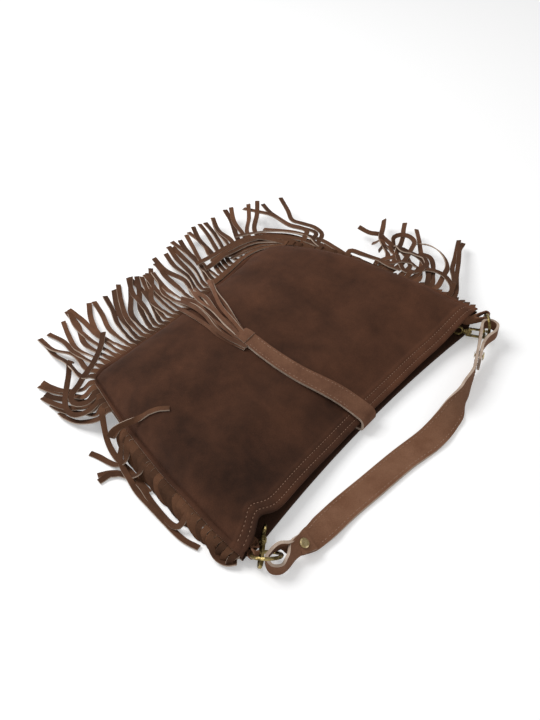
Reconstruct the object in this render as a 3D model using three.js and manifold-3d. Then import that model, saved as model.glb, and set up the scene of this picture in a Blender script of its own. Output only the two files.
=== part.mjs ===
import * as THREE from 'three';
import { mergeVertices } from 'three/addons/utils/BufferGeometryUtils.js';
import Module from 'manifold-3d';

// A fringed suede shoulder bag lying on its back, in millimetres.
// X runs along the mouth, Y from the mouth to the bottom seam, Z up.
// The origin is the centre of the back panel's flat underside.

// Bag body
const mouthWidth = 380;
const bottomWidth = 272;
const bagDepth = 236;
const suede = 1.6;
const sideBow = 16; // control-point offset, so the side swells by half of it
const bottomDip = 12;
const mouthDip = 11;
const nearCornerRadius = 20;
const farCornerRadius = 46;
const crown = 40;
const flange = 5; // flat border over the sewn-in fringe header
const hem = 14;
const nearSeamHeights = [10, 19, 24, 26];
const bottomSeamHeights = [26, 27, 30, 34];
const farSeamHeights = [34, 35, 30, 23];
const frontRimHeights = [18, 15, 11, 11, 14, 27];
const nearRoll = 36; // how far in from the seam the back panel leaves the floor
const farRoll = 44;
const nearMouthRoll = 12;
const farMouthRoll = 19;
const eyeNotch = { ahead: 21, setBack: 7, lift: 5, reach: 13 }; // mouth edge drawn back round the near hook
const panelCells = { across: 18, deep: 12 };

// Fringe
const header = { width: 7, thick: 1.4, out: 1.4 };
const gap = 0.3; // between pieces that touch
const seamGap = 0.45;
const strand = { pitch: 7.8, width: 5.6, hangWidth: 5, thick: 1.3, steps: 4 };
const floorClear = 0.9;

// Closure
const tab = { width: 20, endWidth: 16, thick: 2.6, reach: 0.56, lean: 0.07, inner: 26 };
const snap = { radius: 8, plate: 1.5, along: 0.11, studRadius: 3, studDeep: 1.6 };
const tassel = { strands: 9, width: 3.6, thick: 1.2, length: 92, head: 13, spread: 34 };

// Shoulder strap
const strap = { width: 25, endWidth: 11, thick: 2.8 };
const rivet = { radius: 4.4, dome: 1.5, shank: 1.4, back: 3.4, backThick: 0.6, pressed: 1.1 };

// Rings and snap hooks
const ring = { radius: 12.4, wire: 1.6 };
const nearRingAt = new THREE.Vector3(-mouthWidth / 2 + 12.8, -bagDepth / 2 - 14.8, 14.3);
const farRingAt = new THREE.Vector3(mouthWidth / 2 - 9.8, -bagDepth / 2 - 17.1, 17);
const hook = {
  half: 4.3, bar: 2, gate: 1.4, plate: 2.9, inner: 20, base: 22, barrel: 25.5, stem: 0.9, eye: 4.6, eyeWire: 1.1,
};
const sideTab = { width: 9, thick: 1.5, leg: 9.5, rivetBack: 4.5 };

const wasm = await Module();
wasm.setup();
const v3 = (x, y, z) => new THREE.Vector3(x, y, z);
const lerp = THREE.MathUtils.lerp;
const up = v3(0, 0, 1);

// A repeatable value from -1 to 1 for strand i
const vary = (i, salt) => {
  const s = Math.sin(i * 12.9898 + salt * 78.233) * 43758.5453;
  return 2 * (s - Math.floor(s)) - 1;
};

// Value at t (0 to 1) along evenly spaced heights, eased between them
function along(values, t) {
  const last = values.length - 1;
  const place = THREE.MathUtils.clamp(t, 0, 1) * last;
  const i = Math.min(Math.floor(place), last - 1);
  return lerp(values[i], values[i + 1], (1 - Math.cos(Math.PI * (place - i))) / 2);
}

function toSolid(geometry) {
  const plain = geometry.index ? geometry.clone() : geometry;
  plain.deleteAttribute('normal');
  plain.deleteAttribute('uv');
  const merged = mergeVertices(plain, 1e-4);
  return new wasm.Manifold(new wasm.Mesh({
    numProp: 3,
    vertProperties: new Float32Array(merged.attributes.position.array),
    triVerts: new Uint32Array(merged.index.array),
  }));
}

function toGeometry(solid) {
  const mesh = solid.getMesh();
  const geometry = new THREE.BufferGeometry();
  geometry.setAttribute('position', new THREE.BufferAttribute(mesh.vertProperties, 3));
  geometry.setIndex(new THREE.BufferAttribute(mesh.triVerts, 1));
  return geometry;
}

// A box of nu by nv cells bent so that place(u, v, w) gives each corner, w from -0.5 to 0.5
function bent(nu, nv, place) {
  const geometry = new THREE.BoxGeometry(1, 1, 1, nu, nv, 1);
  geometry.deleteAttribute('normal');
  geometry.deleteAttribute('uv');
  const position = geometry.attributes.position;
  for (let i = 0; i < position.count; i++) {
    const p = place(position.getX(i) + 0.5, position.getY(i) + 0.5, position.getZ(i));
    position.setXYZ(i, p.x, p.y, p.z);
  }
  return mergeVertices(geometry, 1e-4);
}

// Stations with a point, a width direction and a width become one flat strip
function ribbon(stations, thick) {
  const last = stations.length - 1;
  const frames = stations.map((s, i) => {
    const tangent = stations[Math.min(i + 1, last)].at.clone().sub(stations[Math.max(i - 1, 0)].at).normalize();
    const across = s.across.clone().addScaledVector(tangent, -s.across.dot(tangent)).normalize();
    return { across, normal: tangent.clone().cross(across) };
  });
  return bent(last, 1, (u, v, w) => {
    const i = Math.round(u * last);
    return stations[i].at.clone()
      .addScaledVector(frames[i].across, (v - 0.5) * stations[i].width)
      .addScaledVector(frames[i].normal, w * thick);
  });
}

// Smooth stations through a few chosen ones
function smoothStations(chosen, steps) {
  const path = new THREE.CatmullRomCurve3(chosen.map((s) => s.at), false, 'centripetal');
  const acrossPath = new THREE.CatmullRomCurve3(chosen.map((s) => s.across));
  const widths = chosen.map((s) => s.width);
  return Array.from({ length: steps + 1 }, (_, i) => {
    const t = i / steps;
    const place = t * (widths.length - 1);
    const k = Math.min(Math.floor(place), widths.length - 2);
    return { at: path.getPoint(t), across: acrossPath.getPoint(t), width: lerp(widths[k], widths[k + 1], place - k) };
  });
}

// Seam line round the two sides and the bottom, from the near mouth corner to the far one
const halfMouth = mouthWidth / 2;
const halfBottom = bottomWidth / 2;
const halfDepth = bagDepth / 2;

function seamPath() {
  const corner = (x, y) => new THREE.Vector2(x, y);
  const a = corner(-halfMouth, -halfDepth);
  const b = corner(halfMouth, -halfDepth);
  const c = corner(halfBottom, halfDepth);
  const d = corner(-halfBottom, halfDepth);
  const back = (from, to, distance) => to.clone().add(from.clone().sub(to).setLength(distance));
  const middle = (p, q, dx, dy) => p.clone().lerp(q, 0.5).add(corner(dx, dy));
  const d1 = back(a, d, nearCornerRadius);
  const d2 = back(c, d, nearCornerRadius);
  const c1 = back(d, c, farCornerRadius);
  const c2 = back(b, c, farCornerRadius);
  const path = new THREE.CurvePath();
  path.add(new THREE.QuadraticBezierCurve(a, middle(a, d1, -sideBow, 0), d1));
  path.add(new THREE.QuadraticBezierCurve(d1, d, d2));
  path.add(new THREE.QuadraticBezierCurve(d2, middle(d2, c1, 0, -bottomDip), c1));
  path.add(new THREE.QuadraticBezierCurve(c1, c, c2));
  path.add(new THREE.QuadraticBezierCurve(c2, middle(c2, b, sideBow, 0), b));
  return path;
}
const seam = seamPath();
const lengths = seam.getCurveLengths();
const seamLength = lengths[lengths.length - 1];
const nearEnd = (lengths[0] + lengths[1]) / 2 / seamLength; // middle of the near bottom corner
const farEnd = (lengths[2] + lengths[3]) / 2 / seamLength;

function seamHeight(s) {
  if (s < nearEnd) return along(nearSeamHeights, s / nearEnd);
  if (s < farEnd) return along(bottomSeamHeights, (s - nearEnd) / (farEnd - nearEnd));
  return along(farSeamHeights, (s - farEnd) / (1 - farEnd));
}

function seamAt(s) {
  const p = seam.getPoint(s);
  return v3(p.x, p.y, seamHeight(s));
}

// Frame at the seam: the seam's own direction and the way out of the bag
function seamFrame(s) {
  const step = 0.002;
  const before = seamAt(Math.max(s - step, 0));
  const after = seamAt(Math.min(s + step, 1));
  const tangent = after.sub(before).normalize();
  const outward = v3(-tangent.y, tangent.x, 0).normalize();
  return { at: seamAt(s), tangent, outward };
}

// Mouth edge in plan, dipping towards the bottom in its middle
function mouthEdge(u, notch) {
  const x = lerp(-halfMouth, halfMouth, u);
  const near = Math.exp(-(((x - nearRingAt.x - eyeNotch.ahead) / eyeNotch.reach) ** 2));
  return { x, y: -halfDepth + mouthDip * (1 - (2 * u - 1) ** 2) + notch * near, near };
}

// Plan of a panel: u from the near side to the far side, v from the mouth to the bottom
function panelPlan(u, v, notch) {
  const left = seamAt(v * nearEnd);
  const right = seamAt(1 - v * (1 - farEnd));
  const bottom = seamAt(lerp(nearEnd, farEnd, u));
  const rim = mouthEdge(u, notch);
  const [a, b] = [seamAt(0), seamAt(1)];
  const [d, c] = [seamAt(nearEnd), seamAt(farEnd)];
  const blend = (key, rimValue) => (1 - v) * rimValue + v * bottom[key] + (1 - u) * left[key] + u * right[key]
    - ((1 - u) * (1 - v) * a[key] + u * (1 - v) * b[key] + (1 - u) * v * d[key] + u * v * c[key]);
  const x = blend('x', rim.x);
  const y = blend('y', rim.y);
  const span = right.x - left.x;
  return {
    x, y, rim, left, right, bottom, blend,
    nearDistance: u * span,
    farDistance: (1 - u) * span,
    bottomDistance: bottom.y - y,
  };
}

// Stacking at the seam: back panel, fringe header, front panel
const stackOffset = header.thick / 2 + seamGap + suede / 2;

function frontMiddle(u, v) {
  const p = panelPlan(u, v, eyeNotch.setBack);
  const rimHeight = along(frontRimHeights, u) + eyeNotch.lift * p.rim.near;
  const roll = (distance) => {
    const d = Math.max(0, distance - flange);
    return 0.5 * (1 - Math.exp(-d / 9)) + 0.5 * (1 - Math.exp(-d / 55));
  };
  const rise = crown * roll(p.nearDistance) * roll(p.farDistance) * roll(p.bottomDistance) * (1 - (1 - v) ** 2.2);
  const cornerHeights = { a: seamHeight(0), b: seamHeight(1) };
  const endEase = Math.min(1, Math.min(u, 1 - u) * 22);
  const rim = lerp(lerp(cornerHeights.a, cornerHeights.b, u < 0.5 ? 0 : 1), rimHeight, endEase);
  return v3(p.x, p.y, p.blend('z', rim) + stackOffset + rise);
}

function backMiddle(u, v) {
  const p = panelPlan(u, v, 0);
  const drop = (distance, reach) => {
    const t = THREE.MathUtils.clamp((distance - flange) / (reach - flange), 0, 1);
    return (1 + Math.cos(Math.PI * t)) / 2;
  };
  const ease = Math.min(1, v * 2.5);
  const floorMiddle = suede / 2;
  const rise = Math.max(
    (p.left.z - stackOffset - floorMiddle) * drop(p.nearDistance, lerp(nearMouthRoll, nearRoll, ease)),
    (p.right.z - stackOffset - floorMiddle) * drop(p.farDistance, lerp(farMouthRoll, farRoll, ease)),
    (p.bottom.z - stackOffset - floorMiddle) * drop(p.bottomDistance, nearRoll),
  );
  return v3(p.x, p.y, floorMiddle + rise);
}

// Surface normal of a panel's middle sheet, pointing up
function normalOf(middle, u, v) {
  const step = 0.002;
  const clampUnit = (t) => THREE.MathUtils.clamp(t, 0, 1);
  const du = middle(clampUnit(u + step), v).sub(middle(clampUnit(u - step), v));
  const dv = middle(u, clampUnit(v + step)).sub(middle(u, clampUnit(v - step)));
  return du.cross(dv).normalize();
}

// A panel's cells crowd towards its seams, and the hem doubles the thickness inwards
const hemRows = 2;
const plainColumns = 2; // the hem isn't doubled next to the side seams
const columnAt = (column) => (1 - Math.cos(Math.PI * column / panelCells.across)) / 2;

function rowAt(row) {
  const hemShare = hem / bagDepth;
  if (row < hemRows) return hemShare * row;
  if (row === hemRows) return hemShare * 1.03;
  const t = (row - hemRows) / (panelCells.deep - hemRows);
  return lerp(hemShare, 1, lerp(t, Math.sin(Math.PI * t / 2), 0.35));
}

function panel(middle, inward) {
  const { across, deep } = panelCells;
  return bent(across, deep, (u, v, w) => {
    const column = Math.round(u * across);
    const row = Math.round(v * deep);
    const normal = normalOf(middle, columnAt(column), rowAt(row));
    const folded = row < hemRows && w * inward > 0 && column > plainColumns && column < across - plainColumns;
    return middle(columnAt(column), rowAt(row)).addScaledVector(normal, w * suede + (folded ? inward * suede : 0));
  });
}

// Fringe strips: a header in the seam, bent where the panels bend, and its cut strands
const seamStations = [
  ...Array.from({ length: panelCells.deep + 1 }, (_, row) => rowAt(row) * nearEnd),
  ...Array.from({ length: panelCells.across }, (_, column) => lerp(nearEnd, farEnd, columnAt(column + 1))),
  ...Array.from({ length: panelCells.deep }, (_, row) => 1 - rowAt(panelCells.deep - row - 1) * (1 - farEnd)),
];

function headerStrip(from, to) {
  const margin = 0.002;
  const between = seamStations.filter((s) => s > from + margin && s < to - margin);
  const stations = [from, ...between, to].map((s) => {
    const f = seamFrame(s);
    return { at: f.at.addScaledVector(f.outward, header.out - header.width / 2), across: f.outward, width: header.width };
  });
  return ribbon(stations, header.thick);
}

// A strand leaves the seam between the panels and follows its points
function strandAt(s, points, steps, width) {
  const f = seamFrame(s);
  const start = f.at.clone().addScaledVector(f.outward, -1);
  const leave = f.at.clone().addScaledVector(f.outward, 2.6);
  const path = new THREE.CatmullRomCurve3([start, leave, ...points], false, 'centripetal');
  let across = f.tangent.clone().negate();
  const stations = [];
  for (let i = 0; i <= steps; i++) {
    const t = i / steps;
    const tangent = path.getTangent(t);
    across = across.addScaledVector(tangent, -across.dot(tangent)).normalize().clone();
    stations.push({ at: path.getPoint(t), across, width });
  }
  return ribbon(stations, strand.thick);
}

function fringe(from, to, count, route, width) {
  const parts = [toSolid(headerStrip(from, to))];
  for (let i = 0; i < count; i++) {
    const s = lerp(from, to, (i + 0.5) / count);
    parts.push(toSolid(strandAt(s, route(i, seamFrame(s), (i + 0.5) / count), strand.steps, width)));
  }
  return toGeometry(wasm.Manifold.union(parts));
}

// Bottom strands fan out over the floor, leaning to the far side and lifted there
function bottomRoute(i, f, t) {
  const tips = new THREE.CatmullRomCurve3([
    v3(-halfBottom - 14, halfDepth + 48, 4), v3(-halfBottom + 14, halfDepth + 92, 3),
    v3(-halfBottom + 52, halfDepth + 116, 3), v3(-60, halfDepth + 116, 3), v3(4, halfDepth + 106, 5),
    v3(56, halfDepth + 104, 9), v3(104, halfDepth + 106, 14), v3(168, halfDepth + 96, 20),
    v3(halfBottom + 86, halfDepth + 66, 24),
  ]);
  const tip = tips.getPoint(t).add(v3(5 * vary(i, 31), 7 * vary(i, 2), 1.5 * Math.abs(vary(i, 3))));
  const reach = tip.clone().sub(f.at);
  const bend = v3(6 * vary(i, 4), 0, 0);
  const one = f.at.clone().addScaledVector(f.outward, 12).addScaledVector(reach, 0.1);
  one.z = lerp(f.at.z, tip.z, 0.18);
  const two = f.at.clone().addScaledVector(reach, 0.55).addScaledVector(f.outward, 5).add(bend);
  two.z = lerp(f.at.z, tip.z, 0.75);
  return [one, two, tip];
}

// Near-side strands hang to the floor and sweep towards the mouth, tucked under the edge
function nearRoute(i, f) {
  const sweep = f.tangent.clone().negate().setZ(0).normalize();
  const point = (out, along_, z) => f.at.clone().setZ(z)
    .addScaledVector(f.outward, out).addScaledVector(sweep, along_);
  const low = floorClear + strand.thick;
  return [
    point(8, 0.5, f.at.z * 0.85),
    point(11, 4, f.at.z * 0.45 + 1.5),
    point(9, 9 + vary(i, 6), low + 1.5),
    point(3, 13 + vary(i, 7), low + 0.6),
  ];
}

// Far-side strands: the first sweep back over the bottom corner, the rest spread out and curl
function farRoute(i, f, t) {
  const sweep = f.tangent.clone().negate().setZ(0).normalize();
  const point = (out, along_, z) => f.at.clone().setZ(z)
    .addScaledVector(f.outward, out).addScaledVector(sweep, along_);
  const z = f.at.z;
  if (t < 0.2) {
    const row = i * 5.4;
    return [point(9, 3, z + 3), point(15 + row, 24, z + 7), point(14 + row, 60, z + 7 - i), point(-2 + row, 96, z + 5 - i)];
  }
  const reach = along([66, 108, 112, 96, 60, 34], (t - 0.2) / 0.8) + 9 * vary(i, 8);
  const lean = along([34, 26, 14, 6, 8, 10], (t - 0.2) / 0.8) + 6 * vary(i, 9);
  const curl = vary(i, 10) > 0.5 ? 14 : 0;
  return [
    point(10, lean * 0.1, z - 1),
    point(reach * 0.5, lean * 0.55 + curl * 0.6, z - 3 + 3 * vary(i, 11)),
    point(reach * 0.85, lean + curl, z - 7 + 5 * vary(i, 12)),
    point(reach, lean - curl * 0.2, z - 10 + 6 * vary(i, 13)),
  ];
}

// Closure tab: sewn inside the back panel, round the front rim and over the front panel
const tabU = (v) => 0.497 - tab.lean * v / tab.reach;

function overFront(v, height) {
  const u = tabU(v);
  const normal = normalOf(frontMiddle, u, v);
  return frontMiddle(u, v).addScaledVector(normal, suede / 2 + height);
}

function tabStations() {
  const half = tab.thick / 2;
  const rim = frontMiddle(tabU(0), 0);
  const across = v3(-1, 0, 0);
  const station = (at, width) => ({ at, across, width });
  const lowZ = 2 * suede + gap + half;
  const snapStack = 2 * snap.plate + 2 * gap + half + gap;
  const outside = rim.y - suede - gap - half - 2;
  const under = [tab.inner, tab.inner / 2, 5].map((y) => station(v3(rim.x, rim.y + y, lowZ), tab.width));
  const bend = [
    station(v3(rim.x, outside + 2.2, lowZ + 0.8), tab.width),
    station(v3(rim.x, outside, (lowZ + rim.z) / 2 + 1), tab.width),
    station(v3(rim.x, outside + 2, rim.z + suede + half + 0.6), tab.width),
  ];
  const over = [0.03, 0.07, 0.11, 0.15, 0.2, 0.27, 0.35, 0.44, 0.5, tab.reach].map((v) => {
    const settle = THREE.MathUtils.smoothstep(v, 0.15, 0.3);
    const flat = half + gap + 0.2;
    return station(overFront(v, lerp(snapStack, flat, settle)), lerp(tab.width, tab.endWidth, v / tab.reach));
  });
  return [...under, ...bend, ...over];
}

function closureTab() {
  return ribbon(tabStations(), tab.thick);
}

// Tassel: a head under the tab's end and strands splaying over the panel
function tabTassel() {
  const end = tab.reach;
  const mm = 1 / bagDepth;
  const lift = gap + tassel.thick / 2 + 0.2;
  const leaveAt = 0.86; // past this the strands lie clear of the panel's falling edge
  const headParts = [];
  const head = [0.3, 0.6, 1].map((f) => {
    const v = end + gap * mm * 2 + f * tassel.head * mm;
    return { at: overFront(v, 1.9), across: v3(-1, 0, 0), width: tab.endWidth };
  });
  headParts.push(toSolid(ribbon(head, 3)));
  for (let i = 0; i < tassel.strands; i++) {
    const t = i / (tassel.strands - 1) - 0.5;
    const reach = tassel.length * (1 + 0.06 * vary(i, 20));
    const spread = (f) => t * lerp(tab.endWidth - tassel.width, tassel.spread, f) + 3 * f * vary(i, 21);
    const stations = Array.from({ length: 6 }, (_, k) => {
      const f = k / 5;
      const v = end + (tassel.head * 0.7 + reach * f) * mm;
      const lifted = lift + 1.1 + (i % 2) * 1.5 * Math.sin(Math.PI * f);
      const beyond = Math.max(0, v - leaveAt) * bagDepth;
      const base = overFront(Math.min(v, leaveAt), lifted).add(v3(0, beyond, -0.12 * beyond));
      const drift = 14 * f * f;
      return { at: base.add(v3(spread(f) + drift, 0, 0)), across: v3(-1, 0, 0), width: tassel.width };
    });
    headParts.push(toSolid(ribbon(stations, tassel.thick)));
  }
  return toGeometry(wasm.Manifold.union(headParts));
}

// Magnetic snap: a socket on the front panel and a stud plate under the tab
function disc(radius, thick, segments = 16) {
  const profile = [[0, 0], [radius, 0], [radius, thick * 0.6], [radius - 0.5, thick], [0, thick]];
  return new THREE.LatheGeometry(profile.map(([x, y]) => new THREE.Vector2(x, y)), segments);
}

function turned(geometry, at, axis) {
  const turn = new THREE.Quaternion().setFromUnitVectors(v3(0, 1, 0), axis.clone().normalize());
  geometry.applyQuaternion(turn);
  geometry.translate(at.x, at.y, at.z);
  return geometry;
}

function snapParts() {
  const v = snap.along;
  const normal = normalOf(frontMiddle, tabU(v), v);
  const socketBody = toSolid(turned(disc(snap.radius, snap.plate), overFront(v, gap + 0.1), normal));
  const bore = toSolid(turned(new THREE.CylinderGeometry(snap.studRadius + gap, snap.studRadius + gap, 6, 16),
    overFront(v, gap + 0.1 + snap.plate + 2.4), normal));
  const plateAt = overFront(v, 2 * gap + 0.1 + 2 * snap.plate);
  const plate = toSolid(turned(disc(snap.radius, snap.plate), plateAt, normal.clone().negate()));
  const stud = toSolid(turned(new THREE.CylinderGeometry(snap.studRadius, snap.studRadius, snap.studDeep, 16),
    overFront(v, 2 * gap + 0.1 + snap.plate), normal));
  return { socket: toGeometry(socketBody.subtract(bore)), stud: toGeometry(plate.add(stud)) };
}

// Rings hang from the side tabs; each has its plane given by a level and a sloping direction
const ringSide = v3(0.628, -0.778, 0);
const nearRingSlope = v3(0.571, 0.461, -0.679);
const farRingSlope = v3(0.778, 0.628, 0);
const nearPlane = { level: ringSide.clone().normalize(), slope: nearRingSlope.clone().normalize() };
const farPlane = { level: farRingSlope.clone().normalize(), slope: v3(0, 0, -1) };

function ringPoint(centre, plane, angle) {
  return centre.clone()
    .addScaledVector(plane.level, ring.radius * Math.cos(angle))
    .addScaledVector(plane.slope, ring.radius * Math.sin(angle));
}

function ringTangent(plane, angle) {
  return plane.level.clone().multiplyScalar(-Math.sin(angle)).addScaledVector(plane.slope, Math.cos(angle)).normalize();
}

function ringBody(centre, plane) {
  const geometry = new THREE.TorusGeometry(ring.radius, ring.wire, 6, 22);
  const normal = plane.level.clone().cross(plane.slope).normalize();
  geometry.applyQuaternion(new THREE.Quaternion().setFromUnitVectors(up, normal));
  geometry.translate(centre.x, centre.y, centre.z);
  return toGeometry(toSolid(geometry));
}

// Strap route: near tip, loop through the near ring, along the floor, loop through the far ring, tip
const flatZ = strap.thick / 2 + floorClear;
const rivetLayer = strap.thick + gap;
const onEdge = v3(0, 0, 1);

function strapMain() {
  const n = nearRingAt;
  const f = farRingAt;
  const main = (at, across, width) => ({ at, across, width });
  return [
    main(n.clone().add(v3(2, -0.5, 0)), v3(-0.31, -0.25, 0.92), strap.endWidth),
    main(n.clone().add(v3(13.2, -4, 2.6)), v3(-0.31, -0.05, 0.92), strap.endWidth + 1),
    main(n.clone().add(v3(24, -13, -3.6)), v3(-0.1, 0.82, 0.56), strap.endWidth + 4),
    main(n.clone().add(v3(39, -16, -6)), v3(0, 0.93, 0.37), strap.width - 4),
    main(n.clone().add(v3(59, -16.5, -8.6)), v3(0, 0.98, 0.14), strap.width - 1),
    main(v3(n.x + 86, n.y - 17, flatZ), v3(0, 1, 0), strap.width),
    main(v3(n.x + 119, n.y - 21, flatZ), v3(0, 1, 0), strap.width),
    main(v3(lerp(n.x, f.x, 0.45), n.y - 26, flatZ), v3(0, 1, 0), strap.width),
    main(v3(f.x - 158, f.y - 31, flatZ + 1.8), v3(0, 0.98, 0.14), strap.width),
    main(v3(f.x - 126, f.y - 32, flatZ + 6.5), v3(0, 0.8, 0.55), strap.width - 1),
    main(v3(f.x - 94, f.y - 28, flatZ + 9.8), v3(0, 0.25, 0.97), strap.width - 3),
    main(v3(f.x - 66, f.y - 22, flatZ + 9.8), onEdge, strap.width - 4),
    main(v3(f.x - 45, f.y - 14, f.z - 2.5), onEdge, strap.endWidth + 4),
    main(v3(f.x - 24, f.y - 5.5, f.z + 3), onEdge, strap.endWidth + 1),
    main(v3(f.x - 8, f.y + 1.6, f.z + 4.4), onEdge, strap.endWidth),
  ];
}

// A point lying on the outer face of the main strap between two of its stations
function onMain(stations, index, blend) {
  const a = stations[index];
  const b = stations[index + 1];
  const tangent = b.at.clone().sub(a.at).normalize();
  const across = a.across.clone().lerp(b.across, blend).normalize();
  across.addScaledVector(tangent, -across.dot(tangent)).normalize();
  const normal = tangent.cross(across);
  return { at: a.at.clone().lerp(b.at, blend).addScaledVector(normal, rivetLayer + 0.5), across, normal, width: lerp(a.width, b.width, blend) };
}

function strapRoute() {
  const main = strapMain();
  const n = nearRingAt;
  const f = farRingAt;
  const nearTip = [onMain(main, 2, 0.75), onMain(main, 2, 0.25), onMain(main, 1, 0.85)];
  const nearLoop = [
    { at: n.clone().add(v3(9, -15.5, -3.5)), across: v3(-0.15, 0.2, 0.95), width: strap.endWidth },
    { at: n.clone().add(v3(0, -15.5, -4.2)), across: onEdge, width: strap.endWidth },
    { at: n.clone().add(v3(-5, -9.5, -4)), across: onEdge, width: strap.endWidth },
    { at: n.clone().add(v3(-3, -3, -2)), across: onEdge, width: strap.endWidth },
  ];
  const farLoop = [
    { at: f.clone().add(v3(-1, 0.8, 3.9)), across: onEdge, width: strap.endWidth },
    { at: f.clone().add(v3(3, -4.5, 3.2)), across: onEdge, width: strap.endWidth },
    { at: f.clone().add(v3(1.5, -11, 2.4)), across: onEdge, width: strap.endWidth },
    { at: f.clone().add(v3(-7, -13.5, 1.6)), across: onEdge, width: strap.endWidth },
    { at: f.clone().add(v3(-19, -11.5, 1)), across: onEdge, width: strap.endWidth },
  ];
  const last = main.length - 1;
  const farTip = [onMain(main, last - 2, 0.55), onMain(main, last - 2, 0.1), onMain(main, last - 3, 0.6)];
  return { chosen: [...nearTip, ...nearLoop, ...main, ...farLoop, ...farTip], main };
}

function rivetBody(at, axis, stack) {
  const profile = [
    [0, -stack - rivet.backThick], [rivet.back, -stack - rivet.backThick], [rivet.back, -stack],
    [rivet.shank, -stack], [rivet.shank, 0], [rivet.radius, 0], [rivet.radius, rivet.dome * 0.35],
    [rivet.radius * 0.75, rivet.dome * 0.85], [0, rivet.dome],
  ];
  const geometry = new THREE.LatheGeometry(profile.map(([x, y]) => new THREE.Vector2(x, y)), 12);
  return toGeometry(toSolid(turned(geometry, at, axis)));
}

function rivetHole(at, axis) {
  const radius = rivet.shank + gap;
  return toSolid(turned(new THREE.CylinderGeometry(radius, radius, 24, 12), at, axis));
}

function strapParts() {
  const { chosen, main } = strapRoute();
  const steps = Math.round(chosen.length * 1.8);
  const body = toSolid(ribbon(smoothStations(chosen, steps), strap.thick));
  const stack = 2 * strap.thick + 1.6;
  const last = main.length - 1;
  const heads = [onMain(main, 2, 0.25), onMain(main, last - 2, 0.1)].map((s) => ({
    at: s.at.clone().addScaledVector(s.normal, strap.thick / 2 + gap + 0.3), axis: s.normal.clone(),
  }));
  const holes = heads.map((h) => rivetHole(h.at, h.axis));
  return {
    body: toGeometry(body.subtract(holes[0]).subtract(holes[1])),
    rivets: heads.map((h) => rivetBody(h.at, h.axis, stack + 0.6)),
  };
}

// Side tab: one folded strip with both legs riveted inside the mouth and its fold round the ring
function sideTabParts(u, v, lift, centre, plane, angle) {
  const seat = normalOf(backMiddle, u, v);
  const half = sideTab.thick / 2;
  const legGap = sideTab.thick + 2 * gap;
  const slack = 1.2; // the fold is loose on the wire
  const floorAt = backMiddle(u, v).addScaledVector(seat, suede * 1.5);
  const low = floorAt.clone().addScaledVector(seat, lift + half);
  const wire = ringPoint(centre, plane, angle);
  const tangent = ringTangent(plane, angle);
  const inward = backMiddle(u, v + 0.01).sub(backMiddle(u, v)).normalize();
  const legAcross = seat.clone().cross(inward).negate();
  if (tangent.dot(legAcross) < 0) tangent.negate();
  const pull = wire.clone().sub(low);
  pull.addScaledVector(tangent, -pull.dot(tangent)).normalize();
  const side = pull.clone().cross(tangent).normalize();
  if (side.z < 0) side.negate();
  const turn = ring.wire + slack + half;
  const leg = (height) => [sideTab.leg, sideTab.rivetBack, 0, -2].map((back) => ({
    at: low.clone().addScaledVector(inward, back).addScaledVector(seat, height), across: legAcross, width: sideTab.width,
  }));
  const wrap = [90, 45, 0, -45, -90].map((degrees) => {
    const a = THREE.MathUtils.degToRad(degrees);
    const at = wire.clone().addScaledVector(side, turn * Math.sin(a)).addScaledVector(pull, turn * Math.cos(a));
    return { at, across: tangent, width: sideTab.width };
  });
  const chosen = [...leg(legGap), ...wrap, ...leg(0).reverse()];
  const top = low.clone().addScaledVector(inward, sideTab.rivetBack).addScaledVector(seat, legGap + half + 2 * gap);
  const stack = legGap + sideTab.thick + lift + 2 * gap;
  const strip = toSolid(ribbon(smoothStations(chosen, 20), sideTab.thick));
  const clinch = stack + 2 * suede - rivet.pressed + gap;
  const recess = new THREE.CylinderGeometry(rivet.back + gap, rivet.back + gap, 4, 16);
  recess.translate(0, -stack - 2 * suede + rivet.pressed - 2, 0);
  return {
    strip: toGeometry(strip.subtract(rivetHole(top, seat))),
    rivet: rivetBody(top, seat, clinch),
    hole: rivetHole(top, seat).add(toSolid(turned(recess, top, seat))),
  };
}

// Snap hook in its own frame: X from the claw's end to the eye, Y across the claw
function bar(points, thick) {
  const shape = new THREE.Shape(points.map(([x, y]) => new THREE.Vector2(x, y)));
  const geometry = new THREE.ExtrudeGeometry(shape, { depth: thick, bevelEnabled: false });
  geometry.translate(0, 0, -thick / 2);
  return toSolid(geometry);
}

function block(x0, x1, y0, y1, thick) {
  return bar([[x0, y0], [x1, y0], [x1, y1], [x0, y1]], thick);
}

function pin(x, y, radius, length, segments = 10) {
  const geometry = new THREE.CylinderGeometry(radius, radius, length, segments);
  geometry.rotateX(Math.PI / 2);
  geometry.translate(x, y, 0);
  return toSolid(geometry);
}

function axle(from, to, radius, segments = 12) {
  const geometry = new THREE.CylinderGeometry(radius, radius, to - from, segments);
  geometry.rotateZ(Math.PI / 2);
  geometry.translate((from + to) / 2, 0, 0);
  return toSolid(geometry);
}

const gateTip = hook.half + 0.8;
const pivotAt = { x: hook.base - 1, y: hook.half };
const pinRadius = 0.8;

function clawOutline(radius, end) {
  const shape = new THREE.Shape();
  shape.moveTo(end, radius);
  shape.lineTo(hook.half, radius);
  shape.absarc(hook.half, 0, radius, Math.PI / 2, Math.PI * 1.5, false);
  shape.lineTo(end, -radius);
  shape.closePath();
  return shape;
}

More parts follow.
